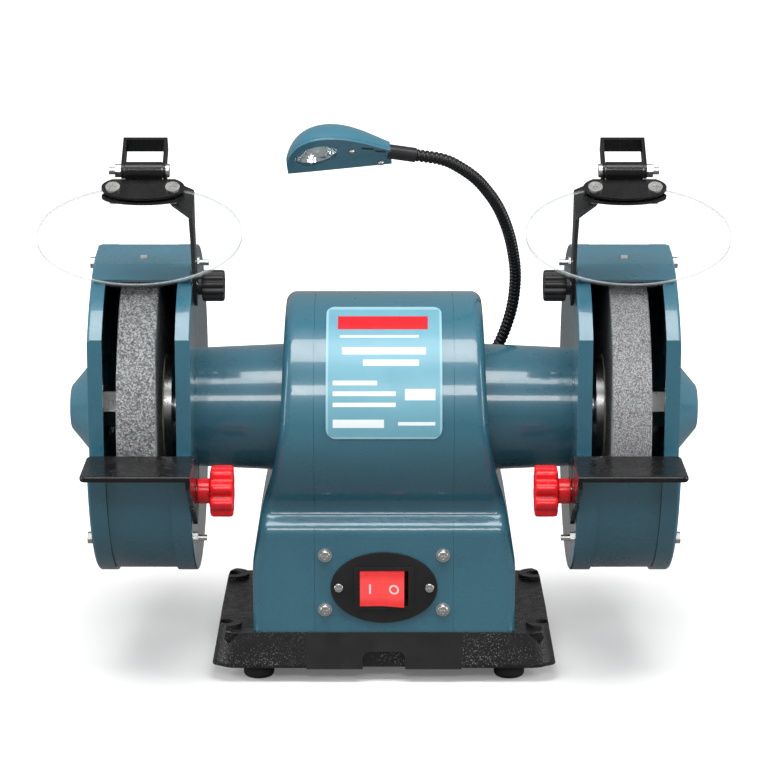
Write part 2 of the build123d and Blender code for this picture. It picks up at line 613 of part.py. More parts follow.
def make_guard_screws():
    screws = []
    x = guard_inner_x + guard_wall
    for a in guard_screw_angles:
        y, z = at_angle(a, guard_screw_circle)
        screws.append(rod_x(x, x + 3, guard_screw_head_r, y, z) + rod_x(x - 12, x, guard_screw_r, y, z))
    return screws


# ---------------------------------------------------------------- spark deflectors
def make_deflector():
    """A plate bent once, lying along the drum over the mouth, with a short square slot."""
    facet = max(deflector_angles[0] - deflector_angles[1], deflector_angles[1] - deflector_angles[2])
    r0 = (guard_rim_r + moving_gap) / math.cos(math.radians(facet / 2))
    low = [at_angle(a, r0) for a in deflector_angles]
    high = [at_angle(a, r0 + deflector_thick) for a in deflector_angles]
    plate = yz_plate(low + high[::-1], guard_mid_x - deflector_half, guard_mid_x + deflector_half)
    corner = plate.edges().filter_by(lambda e: e.length < deflector_thick * 1.5)
    corner = [e for e in corner if abs(e.center().X - guard_mid_x) > deflector_half - 0.1]
    plate = fillet(corner, 3)
    slot = deflector_frame(r0) * Box(deflector_neck + 0.4, deflector_neck + 0.4 + deflector_travel, 12)
    neck_low = guard_band_r - guard_wall
    neck_top = r0 * math.cos(math.radians(3)) + deflector_thick - 0.3
    neck = deflector_frame((neck_low + neck_top) / 2) * Pos(0, -deflector_travel / 2, 0) * Box(
        deflector_neck, deflector_neck, neck_top - neck_low + 1)
    head = deflector_frame(neck_low - 1.3) * Pos(0, -deflector_travel / 2, 0) * Cylinder(
        deflector_head_r, deflector_head_thick)
    return plate - slot, neck + head


def deflector_frame(radius):
    y, z = at_angle(deflector_slot_angle, radius)
    return Pos(guard_mid_x, y, z) * Rot(90 - deflector_slot_angle, 0, 0)


# ---------------------------------------------------------------- tool rests
def make_rest():
    top, low = rest_top, rest_top - rest_thick
    x_in = guard_inner_x - moving_gap
    x_leg = x_in - rest_leg_thick
    front = rest_back_y - rest_depth
    plate = block(x_leg, guard_mid_x + rest_half, front, rest_back_y, low, top)
    plate = fillet(plate.edges().filter_by(Axis.Z).group_by(Axis.X)[-1], 4)
    plate = fillet(plate.edges().filter_by(Axis.X).group_by(Axis.Y)[0], 1.5)
    leg_points = [(front + 2, top), (rest_back_y, top), (-mouth_front_y + 6, rest_top - 12),
                  (-rest_stud_y + rest_travel + 8, rest_top - 16),
                  (-rest_stud_y + rest_travel + 8, rest_stud_z - 8),
                  (-rest_stud_y + 6, rest_stud_z - 24),
                  (-rest_stud_y - 10, rest_stud_z - 12), (front + 2, rest_top - 9)]
    rest = plate + yz_plate(leg_points, x_leg, x_in)
    z = rest_stud_z
    slot = rod_x(110, 130, stud_r + 0.3, -rest_stud_y, z) + rod_x(
        110, 130, stud_r + 0.3, -rest_stud_y + rest_travel, z)
    slot = slot + block(110, 130, -rest_stud_y, -rest_stud_y + rest_travel, z - stud_r - 0.3, z + stud_r + 0.3)
    return rest - slot


def make_rest_stud():
    z = rest_stud_z
    x_in = guard_inner_x - moving_gap - rest_leg_thick - moving_gap
    tip = x_in - rest_hub_thick - rest_knob_thick + 4
    return rod_x(tip, guard_inner_x + guard_wall, stud_r, -rest_stud_y, z) + rod_x(
        guard_inner_x + guard_wall, guard_inner_x + guard_wall + 3, 7, -rest_stud_y, z)


def lobed_knob(x0, x1, radius, lobes, depth, y, z):
    body = rod_x(x0, x1, radius, y, z)
    for i in range(lobes):
        a = math.radians((i + 0.5) * 360 / lobes)
        cut_r = math.pi * radius / lobes * 0.62
        reach = radius + cut_r - depth
        body = body - rod_x(x0 - 1, x1 + 1, cut_r, y + reach * math.cos(a), z + reach * math.sin(a))
    return body


def make_rest_knob():
    z = rest_stud_z
    x1 = guard_inner_x - moving_gap - rest_leg_thick - moving_gap
    hub = rod_x(x1 - rest_hub_thick, x1, rest_hub_r, -rest_stud_y, z)
    knob = lobed_knob(x1 - rest_hub_thick - rest_knob_thick, x1 - rest_hub_thick, rest_knob_r, 8, 3.2, -rest_stud_y, z)
    bore = rod_x(x1 - rest_hub_thick - rest_knob_thick + 3.5, x1 + 1, stud_r + running_gap, -rest_stud_y, z)
    return knob + hub - bore


# ---------------------------------------------------------------- eye shields
def slope_plane():
    a = math.radians(shield_slope)
    return Plane(origin=(shield_x, shield_y, shield_z), x_dir=(1, 0, 0), z_dir=(0, -math.sin(a), math.cos(a)))


def slope_yz(s, n):
    """The (y, z) of a point s up the shield's slope and n above it."""
    a = math.radians(shield_slope)
    return (shield_y + s * math.cos(a) - n * math.sin(a), shield_z + s * math.sin(a) + n * math.cos(a))


def make_arm():
    x1 = guard_inner_x - moving_gap
    x0 = x1 - arm_thick
    stud = (-arm_stud_y, arm_stud_z)
    low_t, high_t = slope_yz(gusset_low, gusset_n), slope_yz(gusset_high, gusset_n)
    u = arm_direction()
    v = (-u[1], u[0])

    def local(a, b):
        return stud[0] + a * u[0] + b * v[0], stud[1] + a * u[1] + b * v[1]

    strap = yz_plate([local(-12, 6), local(-12, -6), local(-8, -8), local(42, -8), high_t, low_t,
                      local(42, 8), local(-8, 8)], x0, x1)
    slot = None
    for k in (0, arm_travel):
        y, z = local(k, 0)
        hole = rod_x(x0 - 1, x1 + 1, arm_stud_r + 0.3, y, z)
        slot = hole if slot is None else slot + hole
    side = arm_stud_r + 0.3
    slot = slot + yz_plate([local(0, -side), local(arm_travel, -side), local(arm_travel, side), local(0, side)],
                           x0 - 1, x1 + 1)
    plane = slope_plane()
    leg_x = -yoke_half
    gusset_points = [(x0 - shield_x, gusset_low), (x0 - shield_x, gusset_high), (leg_x - 3, 60), (leg_x + yoke_thick, 60),
                     (leg_x + yoke_thick, 50), (leg_x - 3.4, 38.5)]
    gusset = extrude(plane.offset(gusset_n - 1) * make_face(Polyline(*gusset_points, close=True)), arm_thick)
    yoke = None
    for x in (leg_x, yoke_half - yoke_thick):
        y, z = slope_yz((hinge_s + yoke_web_s) / 2, hinge_n)
        leg = Pos(shield_x + x + yoke_thick / 2, y, z) * Rot(shield_slope, 0, 0) * Box(
            yoke_thick, yoke_web_s - hinge_s, yoke_width)
        yh, zh = slope_yz(hinge_s, hinge_n)
        leg = leg + rod_x(shield_x + x, shield_x + x + yoke_thick, yoke_width / 2, yh, zh)
        yoke = leg if yoke is None else yoke + leg
    y, z = slope_yz(yoke_web_s - yoke_thick / 2, hinge_n)
    web = Pos(shield_x, y, z) * Rot(shield_slope, 0, 0) * Box(2 * yoke_half, yoke_thick, yoke_width)
    tail = yz_plate([slope_yz(hinge_s - 2, hinge_n), slope_yz(hinge_s + 5.2, hinge_n),
                     slope_yz(60, gusset_n - 1), slope_yz(51.5, gusset_n - 1)],
                    shield_x + leg_x, shield_x + leg_x + yoke_thick)
    yh, zh = slope_yz(hinge_s, hinge_n)
    hole = rod_x(shield_x - 30, shield_x + 30, hinge_r, yh, zh)
    return (strap - slot) + gusset + yoke + web + tail - hole


def arm_direction():
    stud = (-arm_stud_y, arm_stud_z)
    mid_t = slope_yz(arm_aim_s, gusset_n)
    length = math.dist(stud, mid_t)
    return (mid_t[0] - stud[0]) / length, (mid_t[1] - stud[1]) / length


def make_arm_stud():
    y, z = -arm_stud_y, arm_stud_z
    x1 = guard_inner_x - moving_gap - arm_thick - moving_gap
    tip = x1 - arm_hub_thick - arm_knob_thick + 3
    return rod_x(tip, guard_inner_x + guard_wall, arm_stud_r, y, z)


def make_arm_knob():
    y, z = -arm_stud_y, arm_stud_z
    x1 = guard_inner_x - moving_gap - arm_thick - moving_gap
    hub = rod_x(x1 - arm_hub_thick - 0.5, x1, 6.2, y, z)
    body = lobed_knob(x1 - arm_hub_thick - arm_knob_thick, x1 - arm_hub_thick, arm_knob_r, 12, 1.0, y, z)
    rims = [e for e in body.edges().group_by(Axis.X)[0]]
    body = chamfer(rims, 0.8)
    bore = rod_x(x1 - arm_hub_thick - arm_knob_thick + 2.5, x1 + 1, arm_stud_r + running_gap, y, z)
    return body + hub - bore


def make_shield():
    plane = slope_plane()
    disc = extrude(plane.offset(-shield_thick / 2) * Ellipse(shield_half_x, shield_half_s), shield_thick)
    lens = plane.offset(shield_thick / 2) * Pos(0, clamp_s) * Ellipse(clamp_half_x, clamp_half_s)
    upper = extrude(lens, clamp_thick)
    lower = extrude(plane.offset(-shield_thick / 2 - clamp_thick) * Pos(0, clamp_s - 3) * Ellipse(
        clamp_half_x, clamp_half_s - 4), clamp_thick)
    yh, zh = slope_yz(hinge_s, hinge_n)
    inner = yoke_half - yoke_thick - 0.4
    barrel = rod_x(shield_x - inner, shield_x + inner, barrel_r, yh, zh)
    knuckle = plane.offset(shield_thick / 2) * Pos(0, (clamp_s + hinge_s) / 2) * Rectangle(
        2 * inner, hinge_s - clamp_s)
    upper = upper + extrude(knuckle, clamp_thick) + barrel
    for side in (-1, 1):
        x0, x1 = sorted((shield_x + side * (inner + 0.01), shield_x + side * (yoke_half + 9)))
        upper = upper - rod_x(x0, x1, yoke_width / 2 + 0.5, yh, zh)
    upper = upper - rod_x(shield_x - 30, shield_x + 30, hinge_r + running_gap, yh, zh)
    disc = disc - rod_x(shield_x - 20, shield_x + 20, barrel_r + 0.4, yh, zh)
    screws = []
    for x in (-clamp_screw_x, clamp_screw_x):
        hole = extrude(plane.offset(-20) * Pos(x, clamp_s - 2) * Circle(clamp_screw_r), 40)
        disc = disc - hole
        upper = upper - hole
        lower = lower - hole
        head = extrude(plane.offset(shield_thick / 2 + clamp_thick) * Pos(x, clamp_s - 2) * Circle(4.6), 2)
        shank = extrude(plane.offset(-shield_thick / 2 - clamp_thick - 3.5) * Pos(x, clamp_s - 2) * Circle(
            clamp_screw_r), 3.5 + 2 * clamp_thick + shield_thick + 0.5)
        nut = extrude(plane.offset(-shield_thick / 2 - clamp_thick - 3) * Pos(x, clamp_s - 2) * RegularPolygon(
            3.9, 6), 3) - shank
        cross = extrude(plane.offset(shield_thick / 2 + clamp_thick + 1.2) * Pos(x, clamp_s - 2) * (
            Rectangle(5, 0.8) + Rectangle(0.8, 5)), 2)
        screws += [head + shank - cross, nut]
    return disc, group([upper, lower]), screws


def make_hinge_bolt():
    yh, zh = slope_yz(hinge_s, hinge_n)
    left, right = shield_x - yoke_half, shield_x + yoke_half
    head = rod_x(left - 2.2, left, 4.4, yh, zh)
    shank = rod_x(left - 1, right + 8, hinge_r, yh, zh)
    nut = hex_x(right, right + 4, 8, yh, zh) - rod_x(right - 1, right + 10, hinge_r, yh, zh)
    return group([head + shank, nut])


# ---------------------------------------------------------------- work lamp
def neck_points():
    return [Vector(*p) for p in neck_path]


def flex_point():
    p = neck_points()
    return (p[neck_split - 1] + p[neck_split]) * 0.5


def smooth_tube(points, radius):
    """Straight runs joined by arcs as large as each pair of runs allows."""
    radii = []
    for a, b, c in zip(points, points[1:], points[2:]):
        turn = math.radians((b - a).get_angle(c - b))
        run = min((b - a).length, (c - b).length)
        radii.append(0.45 * run / math.tan(turn / 2))
    path = FilletPolyline(*points, radius=radii) if radii else Line(*points)
    start = Plane(origin=points[0], z_dir=points[1] - points[0])
    return sweep(start * Circle(radius), path=path)


def make_neck():
    points = neck_points()
    joint = flex_point()
    lower = smooth_tube(points[:neck_split] + [joint], neck_r) + Pos(*joint) * Sphere(neck_r)
    upper = smooth_tube([joint] + points[neck_split:], neck_r) - Pos(*joint) * Sphere(neck_r + neck_gap)
    upper = upper + Pos(*points[-1]) * Sphere(neck_r)
    return lower, upper


def end_frame():
    p = neck_points()
    return Plane(origin=p[-1], z_dir=p[-1] - p[-2])


def lamp_frame():
    """The lamp's own frame: x runs along it away from the collar, y across it and z up into its dome."""
    lean, roll = math.radians(lamp_lean), math.radians(lamp_roll)
    along = Vector(-math.cos(lean), 0, -math.sin(lean))
    across = Vector(0, -math.cos(roll), math.sin(roll))
    return Plane(origin=lamp_origin, x_dir=along, z_dir=along.cross(across)).location


def lamp_form(wall, low):
    """The lamp's dome, thinner by the wall all round and cut flat at the given height."""
    low_side = lamp_sections[0][1]
    last = len(lamp_sections) - 1
    rings = []
    for i, (along, half, height) in enumerate(lamp_sections):
        place = along + (wall if i == 0 else 0) - (wall if i == last else 0)
        ring = Plane(origin=(place, half - low_side, 0), x_dir=(0, 1, 0), z_dir=(1, 0, 0))
        rings.append(ring * Ellipse(half - wall, height - wall))
    return loft(rings) - block(-100, 200, -100, 100, -100, low)


def oval(long, wide, height):
    """An oval about the window's centre, at one height in the lamp's frame."""
    centre_y = lamp_sections[3][1] - lamp_sections[0][1]
    return Pos(window_at, centre_y, height) * Rot(0, 0, window_turn) * Ellipse(long, wide)


def make_lamp():
    form = lamp_form(0, -lamp_rim)
    hollow = lamp_form(lamp_wall, 0)
    shell = (form - block(-100, 200, -100, 100, -100, 0)) - hollow
    under = form - block(-100, 200, -100, 100, -seam, 100)
    under = under - extrude(oval(window_long, window_wide, -2 * lamp_rim), 4 * lamp_rim)
    lens = extrude(oval(window_long - running_gap, window_wide - running_gap, -lamp_rim + 0.5), 1.5)
    centre_y = lamp_sections[3][1] - lamp_sections[0][1]
    cup = loft([oval(window_long + 1, window_wide + 1, 0.1), oval(6.5, 5.5, reflector_height)])
    cone = loft([oval(window_long, window_wide, 0.0), oval(5.0, 4.0, reflector_height - 1)])
    socket = rod_z(0, 2 * reflector_height, bulb_r - 0.5, window_at, centre_y)
    bowl = (cup & hollow) - cone - socket
    bulb = Pos(window_at, centre_y, 4) * Sphere(bulb_r)
    bulb = bulb + rod_z(4, reflector_height, bulb_r - 0.6, window_at, centre_y)
    x, y, z = neck_path[-1]
    frame = lamp_frame()
    collar = extrude(end_frame() * Circle(collar_r), collar_length)
    collar = collar - Pos(x, y, z) * Sphere(neck_r + neck_gap) - frame * form
    collar = max(collar.solids(), key=lambda piece: piece.volume)
    return [collar] + [frame * piece for piece in (shell, under, lens, bowl, bulb)]


def make_lamp_mount():
    """A block screwed to the back of the right end bell that holds the neck's foot."""
    x, y, z = neck_path[0]
    pad = block(x - 11, x + 9, housing_r - 6, y - 2, z - 14, z + 10) - rod_x(0, 100, housing_r)
    socket = Plane(origin=neck_path[0], z_dir=Vector(*neck_path[1]) - Vector(*neck_path[0]))
    cup = extrude(socket.offset(-9) * Circle(neck_r + 4), 13)
    bore = extrude(socket.offset(-5) * Circle(neck_r + running_gap), 60)
    return pad + cup - bore


# ---------------------------------------------------------------- write every piece
def main():
    os.makedirs("parts", exist_ok=True)
    feet, foot_screws = make_feet()
    centre, bell = make_housing()
    stator, winding = make_stator()
    can, strap = make_capacitor()
    plate, case, rocker, switch_screws = make_switch()
    outer_ring, inner_ring, balls = make_bearing()
    wheel, blotters, flanges, nut = make_wheel()
    back, cover = make_guard()
    deflector, deflector_bolt = make_deflector()
    disc, clamp, clamp_screws = make_shield()
    neck_lower, neck_upper = make_neck()
    collar, shell, under, lens, bowl, bulb = make_lamp()

    write("base_casting", make_base())
    write("base_front_panel", make_front_panel())
    write("bottom_cover", make_bottom_cover())
    write("rubber_feet", group(feet))
    write("cable_gland", make_gland())
    write("motor_shell", centre)
    write("right_end_bell", bell)
    write("left_end_bell", flipped(bell))
    write("base_bolts", group(foot_screws + [make_housing_bolts()]))
    write("panel_screws", group([make_panel_screws(), switch_screws]))
    write("nameplate", make_nameplate())
    write("switch_plate", plate)
    write("switch_body", case)
    write("switch_rocker", rocker)
    write("stator_core", stator)
    write("stator_windings", winding)
    write("capacitor", group([can, strap]))
    write("spindle", make_spindle())
    write("rotor_core", make_rotor())
    write("bearing_outer_rings", both_sides([outer_ring]))
    write("bearing_inner_rings", both_sides([inner_ring]))
    write("bearing_balls", both_sides(balls))
    write("wheel_blotters", both_sides(blotters))
    write("wheel_flanges", both_sides(flanges))
    write("wheel_nuts", both_sides([nut]))
    write("guard_bolts", both_sides(make_guard_bolts()))
    write("guard_mount_screws", both_sides(make_guard_screws()))
    write("deflector_bolts", both_sides([deflector_bolt]))
    write("clamp_studs", both_sides([make_rest_stud(), make_arm_stud()]))
    sided = {
        "wheel": wheel, "guard_back": back, "guard_cover": cover, "spark_deflector": deflector,
        "tool_rest": make_rest(), "rest_knob": make_rest_knob(), "shield_arm": make_arm(),
        "arm_knob": make_arm_knob(), "eye_shield": disc, "shield_clamp": clamp,
        "clamp_screws": group(clamp_screws), "hinge_bolt": make_hinge_bolt(),
    }
    for name, shape in sided.items():
        write("right_" + name, shape)
        write("left_" + name, flipped(shape))
    write("lamp_mount", make_lamp_mount())
    write("gooseneck_lower", neck_lower)
    write("gooseneck_upper", neck_upper)
    write("lamp_collar", collar)
    write("lamp_shell", shell)
    write("lamp_underside", group([under, bowl]))
    write("lamp_lens", group([lens, bulb]))


main()
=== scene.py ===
import bpy
import json
import math
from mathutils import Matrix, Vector


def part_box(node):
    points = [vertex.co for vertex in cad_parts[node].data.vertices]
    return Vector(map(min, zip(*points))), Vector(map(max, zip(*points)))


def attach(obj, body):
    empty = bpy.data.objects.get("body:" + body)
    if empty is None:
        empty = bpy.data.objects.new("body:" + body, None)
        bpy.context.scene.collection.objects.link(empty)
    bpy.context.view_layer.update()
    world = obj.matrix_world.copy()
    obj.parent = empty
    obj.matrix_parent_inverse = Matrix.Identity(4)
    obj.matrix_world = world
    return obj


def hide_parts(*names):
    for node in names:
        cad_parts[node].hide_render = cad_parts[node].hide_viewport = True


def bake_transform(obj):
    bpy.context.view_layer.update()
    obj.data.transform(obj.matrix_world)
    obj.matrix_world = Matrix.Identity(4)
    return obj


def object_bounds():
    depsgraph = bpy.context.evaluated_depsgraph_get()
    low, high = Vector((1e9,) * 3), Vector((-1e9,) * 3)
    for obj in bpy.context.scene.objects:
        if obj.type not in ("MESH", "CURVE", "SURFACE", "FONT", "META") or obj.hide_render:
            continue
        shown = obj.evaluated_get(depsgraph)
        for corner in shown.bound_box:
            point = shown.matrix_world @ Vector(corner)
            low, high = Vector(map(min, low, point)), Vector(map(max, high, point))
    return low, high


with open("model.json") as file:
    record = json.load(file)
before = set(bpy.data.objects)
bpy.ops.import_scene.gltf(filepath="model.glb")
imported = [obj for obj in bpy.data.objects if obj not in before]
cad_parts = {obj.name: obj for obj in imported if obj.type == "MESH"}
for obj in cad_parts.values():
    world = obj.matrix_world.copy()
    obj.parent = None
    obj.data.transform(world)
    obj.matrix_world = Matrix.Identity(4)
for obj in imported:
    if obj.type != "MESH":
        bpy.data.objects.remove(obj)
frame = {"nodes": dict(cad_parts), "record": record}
first_low, first_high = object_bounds()
nodes = frame["nodes"]
SLOTS = {row["node"]: row["material_slot"] for row in frame["record"]["subparts"]}


SHARP_ANGLE = math.radians(24)
NOISE_ROUGHNESS, NOISE_BAND = 0.55, (0.3, 0.7)
WEAR_START, WEAR_FULL = 0.07, 0.3


# ---------------------------------------------------------------- node helpers
class NodeTree:
    """What materials and geometry trees share: adding nodes, joining them and doing sums."""

    def add(self, kind, **settings):
        node = self.tree.nodes.new(kind)
        for key, value in settings.items():
            setattr(node, key, value)
        return node

    def link(self, source, target):
        self.tree.links.new(source, target)

    def feed(self, socket, value):
        if isinstance(value, bpy.types.NodeSocket):
            self.link(value, socket)
        else:
            socket.default_value = value

    def calc(self, operation, a, b=0.0):
        node = self.add("ShaderNodeMath", operation=operation)
        for socket, value in zip(node.inputs, (a, b)):
            self.feed(socket, value)
        return node.outputs[0]


class Finish(NodeTree):
    """One material, built from nodes that read the piece's own Object coordinates."""

    def __init__(self, name, **uniform):
        self.material = bpy.data.materials.new(name)
        self.material.use_nodes = True
        self.tree = self.material.node_tree
        self.tree.nodes.clear()
        self.out = self.add("ShaderNodeOutputMaterial")
        self.shader = self.add("ShaderNodeBsdfPrincipled")
        self.link(self.shader.outputs[0], self.out.inputs[0])
        self.place = self.add("ShaderNodeTexCoord").outputs["Object"]
        for socket, value in uniform.items():
            self.shader.inputs[socket.replace("_", " ")].default_value = value

    def noise(self, scale, detail=3.0, place=None):
        node = self.add("ShaderNodeTexNoise")
        self.link(place or self.place, node.inputs["Vector"])
        node.inputs["Scale"].default_value = scale
        node.inputs["Detail"].default_value = detail
        node.inputs["Roughness"].default_value = NOISE_ROUGHNESS
        return node.outputs["Fac"]

    def cells(self, scale, output="Distance"):
        node = self.add("ShaderNodeTexVoronoi")
        self.link(self.place, node.inputs["Vector"])
        node.inputs["Scale"].default_value = scale
        return node.outputs[output]

    def spread(self, value, low, high, new_low=0.0, new_high=1.0):
        node = self.add("ShaderNodeMapRange")
        for socket, number in zip(node.inputs, (value, low, high, new_low, new_high)):
            self.feed(socket, number)
        return node.outputs[0]

    def mottle(self, scale, new_low=0.0, new_high=1.0, detail=3.0):
        """Soft noise whose middle band is spread from new_low to new_high."""
        return self.spread(self.noise(scale, detail), *NOISE_BAND, new_low, new_high)

    def squares(self, a, b):
        """The two values squared and added."""
        return self.calc("ADD", self.calc("MULTIPLY", a, a), self.calc("MULTIPLY", b, b))

    def mix(self, amount, first, second):
        node = self.add("ShaderNodeMix", data_type="RGBA")
        self.feed(node.inputs["Factor"], amount)
        for socket, value in ((node.inputs[6], first), (node.inputs[7], second)):
            self.feed(socket, value if isinstance(value, bpy.types.NodeSocket) else (*value, 1.0))
        return node.outputs[2]

    def bump(self, height, strength, distance, under=None):
        node = self.add("ShaderNodeBump")
        node.inputs["Strength"].default_value = strength
        node.inputs["Distance"].default_value = distance
        self.link(height, node.inputs["Height"])
        if under:
            self.link(under, node.inputs["Normal"])
        return node.outputs[0]

    def edge_wear(self, radius=0.0008):
        """1 along sharp edges and 0 on flat faces."""
        rounded = self.add("ShaderNodeBevel", samples=4)
        rounded.inputs["Radius"].default_value = radius
        flat = self.add("ShaderNodeNewGeometry")
        turn = self.add("ShaderNodeVectorMath", operation="DOT_PRODUCT")
        self.link(rounded.outputs[0], turn.inputs[0])
        self.link(flat.outputs["Normal"], turn.inputs[1])
        return self.spread(self.calc("SUBTRACT", 1.0, turn.outputs["Value"]), WEAR_START, WEAR_FULL)

    def axes(self):
        node = self.add("ShaderNodeSeparateXYZ")
        self.link(self.place, node.inputs[0])
        return node.outputs

    def within(self, value, low, high, soft=0.0001):
        """1 where value lies between low and high."""
        rise = self.spread(value, low - soft, low + soft)
        fall = self.spread(value, high - soft, high + soft, 1.0, 0.0)
        return self.calc("MULTIPLY", rise, fall)

    def surface(self, color, roughness, normal=None):
        self.feed(self.shader.inputs["Base Color"], color)
        self.feed(self.shader.inputs["Roughness"], roughness)
        if normal:
            self.link(normal, self.shader.inputs["Normal"])
        return self.material


# ---------------------------------------------------------------- finishes
TEAL, TEAL_DEEP, TEAL_EDGE = (0.040, 0.155, 0.215), (0.032, 0.130, 0.185), (0.10, 0.27, 0.36)
LAMP_ORIGIN, LAMP_LEAN, LAMP_ROLL = Vector((4.5, -18.0, 336.1)), math.radians(5.7), math.radians(50.0)


def enamel(name, cast=False):
    """Glossy teal-blue paint, thinner and paler along the edges; cast pieces have a wavier skin."""
    f = Finish(name, Coat_Weight=0.75, Coat_Roughness=0.06, Specular_IOR_Level=0.45)
    base = f.mix(f.mottle(11.0, detail=4.0), TEAL_DEEP, TEAL)
    worn = f.calc("MULTIPLY", f.edge_wear(), f.spread(f.noise(240.0), 0.35, 0.7, 0.2, 0.9))
    color = f.mix(f.calc("MULTIPLY", worn, 0.55), base, TEAL_EDGE)
    roughness = f.mottle(75.0, 0.24, 0.36, detail=4.0)
    skin = f.bump(f.noise(520.0, 2.0), 0.10, 0.0003)
    if cast:
        skin = f.bump(f.noise(38.0, 2.0), 0.10, 0.0012, skin)
    return f.surface(color, roughness, skin)


def speckled_casting(name):
    """Black textured coat with pale flecks scattered in patches."""
    f = Finish(name, Specular_IOR_Level=0.5)
    fleck = f.spread(f.cells(950.0), 0.40, 0.20)
    chosen = f.spread(f.noise(700.0, 1.0), 0.46, 0.56)
    patch = f.spread(f.noise(34.0, 2.0), 0.40, 0.60, 0.1, 0.9)
    amount = f.calc("MULTIPLY", f.calc("MULTIPLY", fleck, chosen), patch)
    worn = f.calc("MULTIPLY", f.edge_wear(0.0012), 0.25)
    color = f.mix(worn, f.mix(amount, (0.008, 0.008, 0.009), (0.30, 0.30, 0.31)), (0.10, 0.10, 0.105))
    roughness = f.mottle(160.0, 0.34, 0.55)
    pebbles = f.bump(f.cells(950.0), 0.4, 0.0005)
    return f.surface(color, roughness, f.bump(f.noise(900.0), 0.25, 0.0003, pebbles))


def satin_black(name, tone, gloss, grain, edge):
    """Black paint or moulded plastic with a fine grain and slightly rubbed edges."""
    f = Finish(name, Specular_IOR_Level=0.32)
    deep, pale = (tone, tone, tone * 1.08), (tone * 1.5, tone * 1.5, tone * 1.6)
    base = f.mix(f.mottle(45.0), deep, pale)
    rubbed = f.calc("MULTIPLY", f.edge_wear(0.0006), f.mottle(330.0, 0.3, 1.0))
    color = f.mix(f.calc("MULTIPLY", rubbed, 0.6), base, (edge, edge, edge * 1.04))
    roughness = f.mottle(95.0, gloss - 0.06, gloss + 0.08, detail=4.0)
    return f.surface(color, roughness, f.bump(f.noise(grain, 3.0), 0.16, 0.0003))


def grit(name, dark, pale, scale):
    """Bonded abrasive: grains of several greys with open pores between them."""
    f = Finish(name, Specular_IOR_Level=0.25)
    cell = f.add("ShaderNodeSeparateColor")
    f.link(f.cells(scale, "Color"), cell.inputs[0])
    own = f.calc("MULTIPLY", cell.outputs[0], 0.65)
    drift = f.calc("MULTIPLY", f.noise(scale * 0.35, 4.0), 0.35)
    tone = f.calc("ADD", own, drift)
    grains = f.mix(f.spread(tone, 0.25, 0.75), dark, pale)
    pores = f.spread(f.cells(scale * 0.8), 0.52, 0.68)
    color = f.mix(f.calc("MULTIPLY", pores, 0.6), grains, tuple(v * 0.3 for v in dark))
    bumps = f.bump(f.cells(scale), 0.7, 0.0006)
    roughness = f.spread(tone, 0.2, 0.8, 0.8, 0.98)
    return f.surface(color, roughness, f.bump(f.noise(scale * 2), 0.4, 0.0003, bumps))


def metal(name, tint, rough, brushed=0.0):
    """Plated or turned steel with a soft cloudiness; turned pieces carry fine rings about the spindle."""
    f = Finish(name, Metallic=1.0)
    cloud = f.noise(130.0, 4.0)
    color = f.mix(f.spread(cloud, *NOISE_BAND), tuple(v * 0.86 for v in tint), tint)
    stretched = f.add("ShaderNodeMapping")
    f.link(f.place, stretched.inputs["Vector"])
    stretched.inputs["Scale"].default_value = (6.0, 1.0, 1.0)
    lines = f.noise(420.0, 2.0, stretched.outputs[0])
    roughness = f.spread(f.calc("ADD", f.calc("MULTIPLY", cloud, 0.5), f.calc("MULTIPLY", lines, 0.5)),
                         *NOISE_BAND, rough - 0.07, rough + 0.1)
    return f.surface(color, roughness, f.bump(lines, 0.08 + brushed, 0.0002))


def red_moulding(name, tone, deep):
    """Glossy red plastic, deeper in soft patches and paler along its edges, with a faint moulded grain."""
    f = Finish(name, Coat_Weight=0.2, Coat_Roughness=0.08, Specular_IOR_Level=0.38)
    color = f.mix(f.mottle(85.0), deep, tone)
    color = f.mix(f.calc("MULTIPLY", f.edge_wear(0.0007), 0.35), color, (0.95, 0.12, 0.13))
    roughness = f.mottle(140.0, 0.2, 0.32)
    return f.surface(color, roughness, f.bump(f.noise(480.0), 0.08, 0.0003))


def rocker_red(name):
    """The rocker: red plastic with a plain bar and a ring, one on each half, a faint painted glow all over
    and a brighter painted highlight band across its middle.
    """
    # Emission gives the whole rocker a faint red painted glow, though it holds no lamp.
    f = Finish(name, Coat_Weight=0.4, Coat_Roughness=0.05, Emission_Strength=0.22)
    f.shader.inputs["Emission Color"].default_value = (1.0, 0.10, 0.09, 1.0)
    low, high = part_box("switch_rocker")
    middle, half = (low + high) / 2, (high.x - low.x) / 2
    bar_x, bar_half_width, bar_half_height = middle.x - half * 0.55, 0.0006, 0.0032
    ring_x, ring_inner, ring_outer = middle.x + half * 0.52, 0.0022, 0.0032
    # Half height and soft edge of the brighter band across the rocker's middle, which is a painted highlight.
    painted_band_half_height, painted_band_edge = 0.0075, 0.002
    x, _, z = f.axes()
    bar = f.calc("MULTIPLY", f.within(x, bar_x - bar_half_width, bar_x + bar_half_width),
                 f.within(z, middle.z - bar_half_height, middle.z + bar_half_height))
    dx, dz = f.calc("SUBTRACT", x, ring_x), f.calc("SUBTRACT", z, middle.z)
    reach = f.calc("SQRT", f.squares(dx, dz))
    marks = f.calc("MAXIMUM", bar, f.within(reach, ring_inner, ring_outer))
    body = f.mix(f.mottle(160.0), (0.62, 0.008, 0.012), (0.85, 0.02, 0.025))
    # lit marks that middle band; the paler red mixed in there is a painted highlight.
    lit = f.within(z, middle.z - painted_band_half_height, middle.z + painted_band_half_height, painted_band_edge)
    painted_highlight_color = f.mix(lit, body, (0.95, 0.06, 0.06))
    return f.surface(f.mix(marks, painted_highlight_color, (0.9, 0.86, 0.85)), f.mottle(300.0, 0.12, 0.2),
                     f.bump(f.noise(500.0), 0.05, 0.0002))


